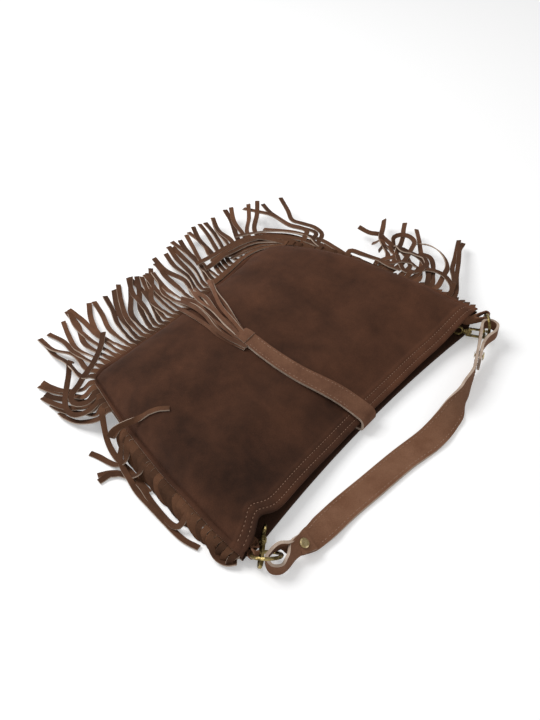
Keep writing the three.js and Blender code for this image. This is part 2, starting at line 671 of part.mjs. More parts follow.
function clawBody() {
  const outer = clawOutline(hook.half + hook.bar / 2, hook.base + 1);
  outer.holes.push(clawOutline(hook.half - hook.bar / 2, hook.inner));
  const options = { depth: hook.plate - 0.8, bevelEnabled: true, bevelSize: 0.4, bevelThickness: 0.4,
    bevelOffset: -0.4, bevelSegments: 1, curveSegments: 5 };
  const plate = new THREE.ExtrudeGeometry(outer, options);
  plate.translate(0, 0, -hook.plate / 2 + 0.4);
  const mouth = block(hook.half, pivotAt.x - 2.4, hook.half - hook.bar / 2 - 0.5, hook.half + 4, 8);
  const slot = block(pivotAt.x - 3, hook.base + 1.6, 1.6, hook.half + 4, 1.8);
  const barrel = axle(hook.base, hook.barrel, 3.1);
  const bore = axle(hook.inner - 1, hook.barrel + 1, hook.stem + gap);
  return toSolid(plate).add(barrel).subtract(mouth).subtract(slot).subtract(bore)
    .subtract(pin(pivotAt.x, pivotAt.y, pinRadius + gap, 8));
}

function clawGate() {
  const y1 = hook.half + hook.bar / 2;
  const y0 = y1 - hook.gate;
  const lever = block(gateTip, pivotAt.x - 2.8, y0, y1, hook.plate - 0.6);
  const thumb = bar([[gateTip + 3, y1 - 0.2], [gateTip + 7, y1 - 0.2], [gateTip + 6, y1 + 0.9], [gateTip + 4, y1 + 0.9]], 2);
  const tongue = block(pivotAt.x - 3.6, pivotAt.x, y0 + 0.1, y1 - 0.1, 1.2);
  return lever.add(thumb).add(tongue).add(pin(pivotAt.x, pivotAt.y, hook.bar / 2 - 0.1, 1.2))
    .add(pin(pivotAt.x, pivotAt.y, pinRadius, hook.plate));
}

function swivelEye() {
  const eyeAt = hook.barrel + 1.6 + gap + hook.eye + 0.6;
  const eye = new THREE.TorusGeometry(hook.eye, hook.eyeWire, 6, 14);
  eye.translate(eyeAt, 0, 0);
  return toSolid(eye).add(axle(hook.barrel + gap, hook.barrel + 1.8, 2.6))
    .add(axle(hook.inner - 0.9, hook.barrel + 1, hook.stem)).add(axle(hook.inner - 1.6, hook.inner - gap, 1.9));
}

// Sets a hook on its ring: the wire lies at (wireX, wireY) in the hook's frame
function placeHook(wire, tangent, heading, wireX, wireY) {
  const x = heading.clone().normalize();
  const z = tangent.clone().addScaledVector(x, -tangent.dot(x)).normalize();
  if (z.clone().cross(x).z < 0) z.negate();
  const y = z.clone().cross(x);
  const basis = new THREE.Matrix4().makeBasis(x, y, z);
  const origin = wire.clone().addScaledVector(x, -wireX).addScaledVector(y, -wireY);
  return basis.setPosition(origin);
}

function hookParts(matrix) {
  return [clawBody(), clawGate(), swivelEye()].map((solid) => toGeometry(solid).applyMatrix4(matrix));
}

// Materials
const finish = (color, roughness, metalness) => () => new THREE.MeshStandardMaterial({ color, roughness, metalness });
const darkSuede = finish(0x4a3226, 0.95, 0);
const innerSuede = finish(0x3a271d, 0.95, 0);
const strapSuede = finish(0x6b4635, 0.95, 0);
const fringeSuede = finish(0x553a2c, 0.95, 0);
const oldBrass = finish(0x8a7b45, 0.35, 1);
const paleBrass = finish(0xb5a47a, 0.3, 1);

const bag = new THREE.Group();
function add(name, geometry, material) {
  const mesh = new THREE.Mesh(geometry, material());
  mesh.name = name;
  bag.add(mesh);
}

const nearCorner = 0.006;
const hookAngle = { near: THREE.MathUtils.degToRad(110), far: Math.PI / 2 };
const hooks = {
  near: placeHook(ringPoint(nearRingAt, nearPlane, hookAngle.near), ringTangent(nearPlane, hookAngle.near),
    v3(0.82, 0.54, 0.13), 14, -1.5),
  far: placeHook(ringPoint(farRingAt, farPlane, hookAngle.far), ringTangent(farPlane, hookAngle.far),
    v3(-0.58, 0.81, 0.16), 4, -1.5),
};
const tabs = {
  near: sideTabParts(0.0525, 0.02, 1, nearRingAt, nearPlane, THREE.MathUtils.degToRad(152)),
  far: sideTabParts(0.972, 0.02, 0.5, farRingAt, farPlane, THREE.MathUtils.degToRad(-30)),
};

const backSolid = toSolid(panel(backMiddle, 1)).subtract(tabs.near.hole).subtract(tabs.far.hole);
add('front_panel', panel(frontMiddle, -1), darkSuede);
add('back_panel', toGeometry(backSolid), innerSuede);
add('fringe_near_side', fringe(nearCorner, nearEnd - nearCorner, Math.round((nearEnd * seamLength) / strand.pitch), nearRoute, strand.hangWidth), fringeSuede);
add('fringe_bottom', fringe(nearEnd, farEnd, Math.round(((farEnd - nearEnd) * seamLength) / strand.pitch), bottomRoute, strand.width), fringeSuede);
add('fringe_far_side', fringe(farEnd + nearCorner, 1 - nearCorner, Math.round(((1 - farEnd) * seamLength) / strand.pitch), farRoute, strand.width), fringeSuede);
add('closure_tab', closureTab(), strapSuede);
add('tab_tassel', tabTassel(), strapSuede);
const snapPair = snapParts();
add('snap_socket', snapPair.socket, oldBrass);
add('snap_stud', snapPair.stud, oldBrass);
const strapSet = strapParts();
add('shoulder_strap', strapSet.body, strapSuede);
['near', 'far'].forEach((end, i) => {
  add(`strap_rivet_${end}`, strapSet.rivets[i], paleBrass);
  add(`ring_${end}`, ringBody(end === 'near' ? nearRingAt : farRingAt, end === 'near' ? nearPlane : farPlane), oldBrass);
  add(`side_tab_${end}`, tabs[end].strip, strapSuede);
  add(`tab_rivet_${end}`, tabs[end].rivet, oldBrass);
  const [claw, gate, eye] = hookParts(hooks[end]);
  add(`hook_claw_${end}`, claw, oldBrass);
  add(`hook_gate_${end}`, gate, oldBrass);
  add(`hook_eye_${end}`, eye, oldBrass);
});

export default bag;
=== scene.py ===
import math
import random

import bmesh
import bpy
import numpy as np
from mathutils import Matrix, Vector, noise
from mathutils.bvhtree import BVHTree


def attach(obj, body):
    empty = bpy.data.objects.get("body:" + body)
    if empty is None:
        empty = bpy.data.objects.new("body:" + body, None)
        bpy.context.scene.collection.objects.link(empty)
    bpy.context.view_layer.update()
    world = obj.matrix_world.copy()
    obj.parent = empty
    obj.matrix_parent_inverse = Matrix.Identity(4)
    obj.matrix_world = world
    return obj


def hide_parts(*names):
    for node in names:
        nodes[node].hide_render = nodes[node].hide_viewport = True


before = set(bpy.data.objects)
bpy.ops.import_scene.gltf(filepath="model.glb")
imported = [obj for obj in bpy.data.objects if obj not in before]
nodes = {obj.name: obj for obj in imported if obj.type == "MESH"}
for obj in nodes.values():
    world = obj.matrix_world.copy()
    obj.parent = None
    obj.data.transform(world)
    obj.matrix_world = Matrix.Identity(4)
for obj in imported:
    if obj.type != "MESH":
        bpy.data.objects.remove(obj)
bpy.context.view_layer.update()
mm = 0.001
random.seed(11)
up = Vector((0, 0, 1))


# Camera: the photograph's viewing angle on the bag lying on its back
view = {"place": (-479.7, -380.2, 587.4), "turn": -51.13, "down": 42.77, "lens": 42.5}


def makeCamera():
    data = bpy.data.cameras.new("camera")
    data.lens = view["lens"]
    data.sensor_width = 36
    data.clip_start = 0.02
    camera = bpy.data.objects.new("camera", data)
    camera.location = Vector(view["place"]) * mm
    camera.rotation_euler = (math.radians(90 - view["down"]), 0, math.radians(view["turn"]))
    bpy.context.scene.collection.objects.link(camera)
    bpy.context.scene.camera = camera


makeCamera()
print("camera placed")


# Small tools
def toLinear(code):  # an sRGB hex value as the linear colour that the shaders use
    channels = [((code >> shift) & 255) / 255 for shift in (16, 8, 0)]
    return tuple(c / 12.92 if c <= 0.04045 else ((c + 0.055) / 1.055) ** 2.4 for c in channels) + (1,)


def addNode(tree, kind, settings=None, links=None):
    node = tree.nodes.new(kind)
    for key, value in (settings or {}).items():
        if isinstance(key, str) and hasattr(node, key):
            setattr(node, key, value)
        else:
            node.inputs[key].default_value = value
    for key, socket in (links or {}).items():
        tree.links.new(socket, node.inputs[key])
    return node


def mix(a, b, t):
    return a + (b - a) * t


def clamp(t):
    return min(max(t, 0), 1)


def smoothstep(t, low, high):
    x = clamp((t - low) / (high - low))
    return x * x * (3 - 2 * x)


def along(values, t):  # eased value between evenly spaced ones
    last = len(values) - 1
    place = clamp(t) * last
    i = min(int(place), last - 1)
    return mix(values[i], values[i + 1], (1 - math.cos(math.pi * (place - i))) / 2)


def catmull(points, count):  # evenly spaced points on a smooth curve through the given ones
    pts = [2 * points[0] - points[1], *points, 2 * points[-1] - points[-2]]
    fine = []
    for a, b, c, d in zip(pts, pts[1:], pts[2:], pts[3:]):
        for k in range(12):
            t = k / 12
            fine.append(0.5 * (2 * b + (c - a) * t + (2 * a - 5 * b + 4 * c - d) * t * t
                               + (3 * b - a - 3 * c + d) * t ** 3))
    fine.append(points[-1].copy())
    reach = [0]
    for p, q in zip(fine, fine[1:]):
        reach.append(reach[-1] + (q - p).length)
    out, k = [], 0
    for i in range(count):
        want = reach[-1] * i / (count - 1)
        while k < len(fine) - 2 and reach[k + 1] < want:
            k += 1
        span = reach[k + 1] - reach[k]
        out.append(fine[k].lerp(fine[k + 1], clamp((want - reach[k]) / span) if span else 0))
    return out


# Suede is split hide raised to a nap: matt, mottled in soft patches, with a faint sheen at a slant.
# patch and nap are the sizes of a blotch and of a tuft in millimetres. Real fibres are finer than a tuft.
napLook = {"blot": 0.22, "blotShare": 0.34, "darkest": 0.32, "palest": 1.05, "speck": (0.84, 1.16),
           "bump": 0.35, "bumpDepth": 0.0006, "roughness": 0.95, "specular": 0.2, "sheenRoughness": 0.55}


def suede(name, dark, light, patch, sheen, drift=0.0, nap=0.9, tone=False):
    material = bpy.data.materials.new(name)
    material.use_nodes = True
    tree = material.node_tree
    shader = tree.nodes["Principled BSDF"]
    place = addNode(tree, "ShaderNodeTexCoord").outputs["Object"]
    cloud = addNode(tree, "ShaderNodeTexNoise",
                    {"Scale": 1 / (patch * mm), "Detail": 3, "Roughness": 0.5, "Distortion": 0.3},
                    {"Vector": place})
    blot = addNode(tree, "ShaderNodeTexNoise",
                   {"Scale": 1 / (patch * napLook["blot"] * mm), "Detail": 3, "Roughness": 0.6},
                   {"Vector": place})
    fibre = addNode(tree, "ShaderNodeTexNoise",
                    {"Scale": 1 / (nap * mm), "Detail": 2, "Roughness": 0.7}, {"Vector": place})
    split = addNode(tree, "ShaderNodeSeparateXYZ", links={"Vector": place})
    # drift makes the colour paler along x; on the front panel this is a painted sheen towards the far end
    slope = addNode(tree, "ShaderNodeMath", {"operation": "MULTIPLY", 1: drift}, {0: split.outputs["X"]})
    patches = addNode(tree, "ShaderNodeMath", {"operation": "MULTIPLY_ADD", 1: napLook["blotShare"]},
                      {0: blot.outputs["Fac"], 2: cloud.outputs["Fac"]})
    total = addNode(tree, "ShaderNodeMath", {"operation": "ADD"},
                    {0: patches.outputs[0], 1: slope.outputs[0]})
    share = addNode(tree, "ShaderNodeMapRange",
                    {"From Min": napLook["darkest"], "From Max": napLook["palest"]},
                    {"Value": total.outputs[0]})
    base = addNode(tree, "ShaderNodeMix", {"data_type": "RGBA", 6: toLinear(dark), 7: toLinear(light)},
                   {0: share.outputs[0]})
    low, high = napLook["speck"]
    speck = addNode(tree, "ShaderNodeMapRange",
                    {"From Min": 0.3, "From Max": 0.7, "To Min": low, "To Max": high},
                    {"Value": fibre.outputs["Fac"]})
    # The tone attribute scales the colour: random tone on the strands, and on the front panel a painted sheen
    # along the seams
    if tone:
        own = addNode(tree, "ShaderNodeAttribute", {"attribute_name": "tone"})
        speck = addNode(tree, "ShaderNodeMath", {"operation": "MULTIPLY"},
                        {0: speck.outputs[0], 1: own.outputs["Fac"]})
    shade = addNode(tree, "ShaderNodeVectorMath", {"operation": "SCALE"},
                    {0: base.outputs[2], "Scale": speck.outputs[0]})
    tree.links.new(shade.outputs[0], shader.inputs["Base Color"])
    relief = addNode(tree, "ShaderNodeMath", {"operation": "MULTIPLY_ADD", 1: 0.6},
                     {0: fibre.outputs["Fac"], 2: blot.outputs["Fac"]})
    bump = addNode(tree, "ShaderNodeBump", {"Strength": napLook["bump"], "Distance": napLook["bumpDepth"]},
                   {"Height": relief.outputs[0]})
    tree.links.new(bump.outputs[0], shader.inputs["Normal"])
    shader.inputs["Roughness"].default_value = napLook["roughness"]
    shader.inputs["Specular IOR Level"].default_value = napLook["specular"]
    shader.inputs["Sheen Weight"].default_value = sheen
    shader.inputs["Sheen Roughness"].default_value = napLook["sheenRoughness"]
    shader.inputs["Sheen Tint"].default_value = toLinear(light)
    return material


# Brass with an antiqued finish: bright metal with dull brown stains about 5 mm across
patina = {"perMetre": 190, "dull": 0.42, "bright": 0.6, "dullRoughness": 0.18}


def brass(name, bright, dull, rough):
    material = bpy.data.materials.new(name)
    material.use_nodes = True
    tree = material.node_tree
    shader = tree.nodes["Principled BSDF"]
    place = addNode(tree, "ShaderNodeTexCoord").outputs["Object"]
    stain = addNode(tree, "ShaderNodeTexNoise",
                    {"Scale": patina["perMetre"], "Detail": 3, "Roughness": 0.55}, {"Vector": place})
    share = addNode(tree, "ShaderNodeMapRange", {"From Min": patina["dull"], "From Max": patina["bright"]},
                    {"Value": stain.outputs["Fac"]})
    base = addNode(tree, "ShaderNodeMix", {"data_type": "RGBA", 6: toLinear(dull), 7: toLinear(bright)},
                   {0: share.outputs[0]})
    gloss = addNode(tree, "ShaderNodeMapRange", {"To Min": rough + patina["dullRoughness"], "To Max": rough},
                    {"Value": share.outputs[0]})
    bump = addNode(tree, "ShaderNodeBump", {"Strength": 0.12, "Distance": 0.0002},
                   {"Height": stain.outputs["Fac"]})
    tree.links.new(base.outputs[2], shader.inputs["Base Color"])
    tree.links.new(gloss.outputs[0], shader.inputs["Roughness"])
    tree.links.new(bump.outputs[0], shader.inputs["Normal"])
    shader.inputs["Metallic"].default_value = 1
    return material


# Painted sheen: the front panel grows paler towards the far end, which the drift does
darkSuede = suede("darkSuede", 0x2e1c13, 0x593827, 44, drift=1.0, tone=True, sheen=0.12)
innerSuede = suede("innerSuede", 0x2f1e15, 0x452d20, 50, sheen=0.12)
strapSuede = suede("strapSuede", 0x66432f, 0x84604a, 30, sheen=0.2)
tabSuede = suede("tabSuede", 0x58392a, 0x7c5843, 26, tone=True, sheen=0.18)
fringeSuede = suede("fringeSuede", 0x3f2a1d, 0x64432f, 30, tone=True, sheen=0.15)
cutEdge = suede("cutEdge", 0x968070, 0xc6b3a2, 9, nap=0.6, sheen=0.1)  # raw cut edge, paler than the nap
thread = suede("waxedThread", 0x876652, 0xa88873, 8, nap=0.5, sheen=0.1)
oldBrass = brass("antiquedBrass", 0xa39160, 0x574a2b, 0.26)
paleBrass = brass("champagneBrass", 0xcdbb92, 0xa08d62, 0.2)


# Bag body: the same seam line and sheets as the solid model, in millimetres.
# A ring's three values are how far in from the corner, how far out of the mouth and how high it lies.
bag = {
    "mouth": 380, "bottom": 272, "depth": 236, "suede": 1.6, "sideBow": 16, "bottomDip": 12, "mouthDip": 11,
    "nearRadius": 20, "farRadius": 46, "crown": 40, "flange": 5, "hem": 14,
    "nearSeam": [10, 19, 24, 26], "bottomSeam": [26, 27, 30, 34], "farSeam": [34, 35, 30, 23],
    "rim": [18, 15, 11, 11, 14, 27], "nearRoll": 36, "farRoll": 44, "nearMouthRoll": 12, "farMouthRoll": 19,
    "header": 1.4, "seamGap": 0.45,
    "rollReach": (9, 55), "curveSteps": 80, "nearRing": (12.8, 14.8, 14.3), "farRing": (9.8, 17.1, 17),
    "notch": {"ahead": 21, "setBack": 7, "lift": 5, "reach": 13},
}
halfMouth, halfBottom, halfDepth = bag["mouth"] / 2, bag["bottom"] / 2, bag["depth"] / 2


def ringAt(side, inward, outward, height):
    return Vector((side * (halfMouth - inward), -halfDepth - outward, height))


nearRing, farRing = ringAt(-1, *bag["nearRing"]), ringAt(1, *bag["farRing"])


def seamTable():
    a, b = Vector((-halfMouth, -halfDepth)), Vector((halfMouth, -halfDepth))
    c, d = Vector((halfBottom, halfDepth)), Vector((-halfBottom, halfDepth))

    def back(start, end, distance):
        return end + (start - end).normalized() * distance

    d1, d2 = back(a, d, bag["nearRadius"]), back(c, d, bag["nearRadius"])
    c1, c2 = back(d, c, bag["farRadius"]), back(b, c, bag["farRadius"])
    curves = [
        (a, (a + d1) / 2 + Vector((-bag["sideBow"], 0)), d1), (d1, d, d2),
        (d2, (d2 + c1) / 2 + Vector((0, -bag["bottomDip"])), c1), (c1, c, c2),
        (c2, (c2 + b) / 2 + Vector((bag["sideBow"], 0)), b),
    ]
    points, ends = [a.copy()], []
    steps = [k / bag["curveSteps"] for k in range(1, bag["curveSteps"] + 1)]
    for p, q, r in curves:
        points += [p * (1 - t) ** 2 + q * 2 * t * (1 - t) + r * t * t for t in steps]
        ends.append(len(points) - 1)
    reach = np.concatenate([[0], np.cumsum([(q - p).length for p, q in zip(points, points[1:])])])
    total = reach[-1]
    corners = [(reach[ends[0]] + reach[ends[1]]) / 2 / total, (reach[ends[2]] + reach[ends[3]]) / 2 / total]
    return reach / total, np.array([p.x for p in points]), np.array([p.y for p in points]), total, corners


seamShares, seamX, seamY, seamLength, (nearEnd, farEnd) = seamTable()


def seamAt(s):
    if s < nearEnd:
        z = along(bag["nearSeam"], s / nearEnd)
    elif s < farEnd:
        z = along(bag["bottomSeam"], (s - nearEnd) / (farEnd - nearEnd))
    else:
        z = along(bag["farSeam"], (s - farEnd) / (1 - farEnd))
    return Vector((np.interp(s, seamShares, seamX), np.interp(s, seamShares, seamY), z))


def seamFrame(s):
    tangent = (seamAt(min(s + 0.002, 1)) - seamAt(max(s - 0.002, 0))).normalized()
    return seamAt(s), tangent, Vector((-tangent.y, tangent.x, 0)).normalized()


cornerA, cornerB, cornerC, cornerD = seamAt(0), seamAt(1), seamAt(farEnd), seamAt(nearEnd)


def panelPlan(u, v, setBack):
    left, right = seamAt(v * nearEnd), seamAt(1 - v * (1 - farEnd))
    bottom = seamAt(mix(nearEnd, farEnd, u))
    x = mix(-halfMouth, halfMouth, u)
    near = math.exp(-(((x - nearRing.x - bag["notch"]["ahead"]) / bag["notch"]["reach"]) ** 2))
    rimY = -halfDepth + bag["mouthDip"] * (1 - (2 * u - 1) ** 2) + setBack * near

    def blend(k, rim):
        corner = ((1 - u) * (1 - v) * cornerA[k] + u * (1 - v) * cornerB[k]
                  + (1 - u) * v * cornerD[k] + u * v * cornerC[k])
        return (1 - v) * rim + v * bottom[k] + (1 - u) * left[k] + u * right[k] - corner

    px, py = blend(0, x), blend(1, rimY)
    span = right.x - left.x
    return px, py, near, left, right, bottom, blend, u * span, (1 - u) * span, bottom.y - py


stack = bag["header"] / 2 + bag["seamGap"] + bag["suede"] / 2  # from the seam's middle to a panel's middle


def roll(distance):  # quick next to the seam, then slow
    d, (quick, slow) = max(0, distance - bag["flange"]), bag["rollReach"]
    return 0.5 * (1 - math.exp(-d / quick)) + 0.5 * (1 - math.exp(-d / slow))


def frontMiddle(u, v):
    x, y, near, left, right, bottom, blend, dNear, dFar, dBottom = panelPlan(u, v, bag["notch"]["setBack"])
    rim = along(bag["rim"], u) + bag["notch"]["lift"] * near
    ease = min(1, min(u, 1 - u) * 22)
    rim = mix(cornerA.z if u < 0.5 else cornerB.z, rim, ease)
    rise = bag["crown"] * roll(dNear) * roll(dFar) * roll(dBottom) * (1 - (1 - v) ** 2.2)
    return Vector((x, y, blend(2, rim) + stack + rise))


def backMiddle(u, v):
    x, y, near, left, right, bottom, blend, dNear, dFar, dBottom = panelPlan(u, v, 0)

    def drop(distance, reach):
        return (1 + math.cos(math.pi * clamp((distance - bag["flange"]) / (reach - bag["flange"])))) / 2

    ease, floor = min(1, v * 2.5), bag["suede"] / 2
    rise = max(
        (left.z - stack - floor) * drop(dNear, mix(bag["nearMouthRoll"], bag["nearRoll"], ease)),
        (right.z - stack - floor) * drop(dFar, mix(bag["farMouthRoll"], bag["farRoll"], ease)),
        (bottom.z - stack - floor) * drop(dBottom, bag["nearRoll"]),
    )
    return Vector((x, y, floor + rise))


def normalOf(middle, u, v):
    step = 0.002
    du = middle(clamp(u + step), v) - middle(clamp(u - step), v)
    dv = middle(u, clamp(v + step)) - middle(u, clamp(v - step))
    return du.cross(dv).normalized()


def addGrid(bm, columns, rows, place):  # a grid of faces whose corners are given by place(u, v)
    made = bmesh.ops.create_grid(bm, x_segments=columns, y_segments=rows, size=1)["verts"]
    for vertex in made:
        vertex.co = place((vertex.co.x + 1) / 2, (vertex.co.y + 1) / 2)
    return made


sharpAngle = 48  # edges with a sharper turn than this stay crisp


def toneOf(bm):
    return bm.verts.layers.float.get("tone") or bm.verts.layers.float.new("tone")


def finishPiece(name, bm, materials, thick=0):  # a wall's rim takes the second material
    mesh = bpy.data.meshes.new(name)
    bmesh.ops.scale(bm, vec=(mm, mm, mm), verts=bm.verts)
    bm.to_mesh(mesh)
    bm.free()
    for material in materials:
        mesh.materials.append(material)
    piece = bpy.data.objects.new(name, mesh)
    bpy.context.scene.collection.objects.link(piece)
    if thick:
        wall = piece.modifiers.new("wall", "SOLIDIFY")
        wall.thickness = thick * mm
        wall.offset = 0
        wall.material_offset_rim = 1
        bpy.context.view_layer.update()
        solid = bpy.data.meshes.new_from_object(piece.evaluated_get(bpy.context.evaluated_depsgraph_get()))
        piece.modifiers.clear()
        piece.data = solid
        bpy.data.meshes.remove(mesh)
    piece.data.name = name
    piece.data.shade_smooth()
    piece.data.set_sharp_from_angle(angle=math.radians(sharpAngle))
    return piece


# Sheets of the bag: the sheet turns in at the mouth and lies double over the hem's width
sheets = {"frontColumns": 170, "backColumns": 96, "flapRows": 6, "turnRows": 6, "hemRows": 20,
          "bodyRows": 96, "stitchRows": (3.2, 9.6), "crease": 4.4, "ease": 26}  # ease: cut for bulge and seam
surface = {  # heights with their reach in millimetres, then how much paler the edges are (a painted sheen on the rolled seam edges) and how much paler the hem is
    "hem": 0.45, "stitch": (0.5, 0.9), "crease": (1.5, 1.2), "wave": (1.6, 46), "ripple": (0.5, 17),
    "pucker": (0.7, 7), "puckerAt": (9, 7), "edgeSheenPaint": 0.34, "edgeSheenReach": 17, "hemTone": 0.22,
}
rowCount = sheets["flapRows"] + sheets["turnRows"] + sheets["hemRows"] + sheets["bodyRows"]


def sheetPoint(middle, inward, u, row):
    width = (1 - math.cos(math.pi * u)) / 2
    flap, turn, hemRows = sheets["flapRows"], sheets["turnRows"], sheets["hemRows"]
    radius = (bag["suede"] + 0.12) / 2
    sides = clamp(min(width, 1 - width) * 40 - 0.6)  # the fold dies out at the side seams
    if row >= flap + turn:
        k = row - flap - turn
        if k <= hemRows:
            v = (bag["hem"] + 2) / bag["depth"] * k / hemRows
        else:
            t = (k - hemRows) / sheets["bodyRows"]
            v = mix((bag["hem"] + 2) / bag["depth"], 1, mix(t, math.sin(math.pi * t / 2), 0.6))
        return middle(width, v), v
    if row >= flap:
        normal = normalOf(middle, width, 0) * inward
        deep = (middle(width, 0.01) - middle(width, 0)).normalized()
        angle = math.pi * (1 - (row - flap) / turn)  # half a turn from the flap to the outside
        edge = middle(width, 0) + normal * radius * sides
        point = edge - deep * radius * math.sin(angle) * sides - normal * radius * math.cos(angle) * sides
        return point, 0
    v = bag["hem"] / bag["depth"] * (1 - row / flap)
    normal = normalOf(middle, width, v) * inward
    return middle(width, v) + normal * 2 * radius * sides, v


def seamDistance(x, y, u, v):
    width = (1 - math.cos(math.pi * u)) / 2
    left, right = seamAt(v * nearEnd), seamAt(1 - v * (1 - farEnd))
    return min(x - left.x, right.x - x, seamAt(mix(nearEnd, farEnd, width)).y - y)


def frontSheenAndHemTone(x, y, u, v):  # painted sheen: the nap is paler along the rolled seams; the hem is paler too
    edge = 1 - smoothstep(seamDistance(x, y, u, v), 3, surface["edgeSheenReach"])
    hem = 1 - smoothstep(v * bag["depth"], bag["hem"] - 1, bag["hem"] + 1)
    paintedSheen = surface["edgeSheenPaint"] * edge * (0.75 + 0.5 * noise.noise(Vector((x, y, 5)) / 15))
    return 1 + paintedSheen + surface["hemTone"] * hem


def frontRelief(x, y, u, row, v):  # how far the sheet stands off its plain shape
    if row < sheets["flapRows"] + sheets["turnRows"]:
        return 0
    down = v * bag["depth"]
    fromSeam = seamDistance(x, y, u, v)
    (groove, grooveReach), (crease, creaseReach) = surface["stitch"], surface["crease"]
    (wave, waveReach), (ripple, rippleReach) = surface["wave"], surface["ripple"]
    (pucker, puckerReach), (puckerAt, puckerWidth) = surface["pucker"], surface["puckerAt"]
    height = surface["hem"] * (1 - smoothstep(down, bag["hem"] - 2, bag["hem"] + 2)) * smoothstep(down, 0, 2)
    for line in sheets["stitchRows"]:
        height -= groove * math.exp(-(((down - line) / grooveReach) ** 2))
    fold = math.exp(-(((fromSeam - sheets["crease"]) / creaseReach) ** 2))
    height -= crease * fold * smoothstep(down, 4, 20)
    inner = smoothstep(fromSeam, 4, 30) * smoothstep(down, 10, 50)
    height += wave * inner * noise.noise(Vector((x, y, 3)) / waveReach)
    height += ripple * inner * noise.noise(Vector((x, y, 9)) / rippleReach)
    gathered = math.exp(-(((fromSeam - puckerAt) / puckerWidth) ** 2))
    height += pucker * gathered * noise.noise(Vector((x, y, 0)) / puckerReach)
    return height


def makePanel(middle, inward, relief, columns):
    bm = bmesh.new()
    places = {}

    def place(u, w):
        row = round(w * rowCount)
        point, v = sheetPoint(middle, inward, u, row)
        places[len(places)] = (u, row, v)
        return point

    toneLayer = toneOf(bm)
    made = addGrid(bm, columns, rowCount, place)
    bmesh.ops.recalc_face_normals(bm, faces=bm.faces)
    bm.normal_update()
    if relief:
        moves = []
        for i, vertex in enumerate(made):
            u, row, v = places[i]
            vertex[toneLayer] = frontSheenAndHemTone(vertex.co.x, vertex.co.y, u, v)
            facing = vertex.normal if vertex.normal.z > 0 else -vertex.normal
            moves.append(facing * relief(vertex.co.x, vertex.co.y, u, row, v))
        for vertex, move in zip(made, moves):
            vertex.co += move
    return bm


frontBm = makePanel(frontMiddle, -1, frontRelief, sheets["frontColumns"])
frontPanel = finishPiece("frontPanel", frontBm, [darkSuede, cutEdge], bag["suede"])
backBm = makePanel(backMiddle, 1, None, sheets["backColumns"])
backPanel = finishPiece("backPanel", backBm, [innerSuede, cutEdge], bag["suede"])
for piece, node, slotName in ((frontPanel, "front_panel", "dark_suede"),
                              (backPanel, "back_panel", "inner_suede")):
    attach(piece, "bag")
    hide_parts(node)
print("panels made")

frontTree = BVHTree.FromObject(frontPanel, bpy.context.evaluated_depsgraph_get())


def onFront(x, y):  # top of the front panel under a point, with its normal, in millimetres
    hit, normal, index, distance = frontTree.ray_cast(Vector((x, y, 200)) * mm, -up)
    if hit is None:
        return None, None
    return hit / mm, normal if normal.z > 0 else -normal


# Strands: cut strips of suede, which either hang from the seam or are laid on what is already there
strand = {"pitch": 6.6, "width": 5.7, "thick": 1.3, "steps": 32, "tones": (0.68, 0.85, 1, 1.1, 1.28),
          "hangTones": (0.7, 0.85, 1, 1.15, 1.25), "easings": 5}
header = {"inside": 5.6, "outside": 0.4, "drop": 1.1, "tone": 0.95, "low": 0.004, "high": 0.996}
ground = {"low": (-240, -200), "cell": 1.5, "cells": (380, 320)}  # a map of heights, in cells
floorTop = np.zeros(ground["cells"])  # highest strand so far over the floor


def cellOf(x, y):
    i = int(round((x - ground["low"][0]) / ground["cell"]))
    j = int(round((y - ground["low"][1]) / ground["cell"]))
    return min(max(i, 0), ground["cells"][0] - 1), min(max(j, 0), ground["cells"][1] - 1)


bagTop = np.zeros(ground["cells"])  # the same over the front panel
for i in range(ground["cells"][0]):
    for j in range(ground["cells"][1]):
        x, y = ground["low"][0] + i * ground["cell"], ground["low"][1] + j * ground["cell"]
        if abs(x) < halfMouth + 4 and abs(y) < halfDepth + 4:
            hit, normal = onFront(x, y)
            if hit is not None:
                bagTop[i, j] = hit.z


cutStrands = []  # length and area of every strand of the piece being made


def addStrip(bm, points, acrosses, widths, tone):
    long = sum((b - a).length for a, b in zip(points, points[1:]))
    cutStrands.append((long, long * sum(widths) / len(widths)))
    toneLayer = toneOf(bm)
    last = len(points) - 1
    for point, across, width in zip(points, acrosses, widths):
        point.z = max(point.z, strand["thick"] * 0.55 + width / 2 * abs(across.z))

    def place(u, v):
        i = round(u * last)
        return points[i] + acrosses[i] * widths[i] * (v - 0.5)

    for vertex in addGrid(bm, last, 2, place):
        vertex[toneLayer] = tone


def tangentsOf(points):
    last = len(points) - 1
    return [(points[min(i + 1, last)] - points[max(i - 1, 0)]).normalized() for i in range(last + 1)]


def acrossAlong(points, rolls, first, held=0):  # the flat way across a strand at each of its points
    acrosses = []
    tangents = tangentsOf(points)
    crossings = [tangent.cross(up) for tangent in tangents]
    previous = first
    for i, (tangent, crossing, turn) in enumerate(zip(tangents, crossings, rolls)):
        level = previous
        if crossing.length > 0.3:
            flat = crossing.normalized() * (1 if crossing.dot(previous) > 0 else -1)
            level = previous.lerp(flat, clamp((i - held) / 6))
        level = (level - tangent * level.dot(tangent)).normalized()
        previous = level
        acrosses.append(Matrix.Rotation(turn, 3, tangent) @ level)
    return acrosses


def widthsAlong(points, width, root=0):  # the full pitch at its root, then a little uneven
    widths = [width * (1 + 0.07 * noise.noise(Vector((p.x, p.y, 1)) / 9)) for p in points]
    for i in range(root):
        widths[i] = mix(strand["pitch"] - 0.1, widths[i], i / root)
    return widths


def rollWave(most):
    size, phase, pace = random.uniform(-most, most), random.uniform(0, 6), random.uniform(2, 5)
    steps = strand["steps"]
    return [size * math.sin(phase + pace * i / steps) * clamp((i - 5) / 6) for i in range(steps)]


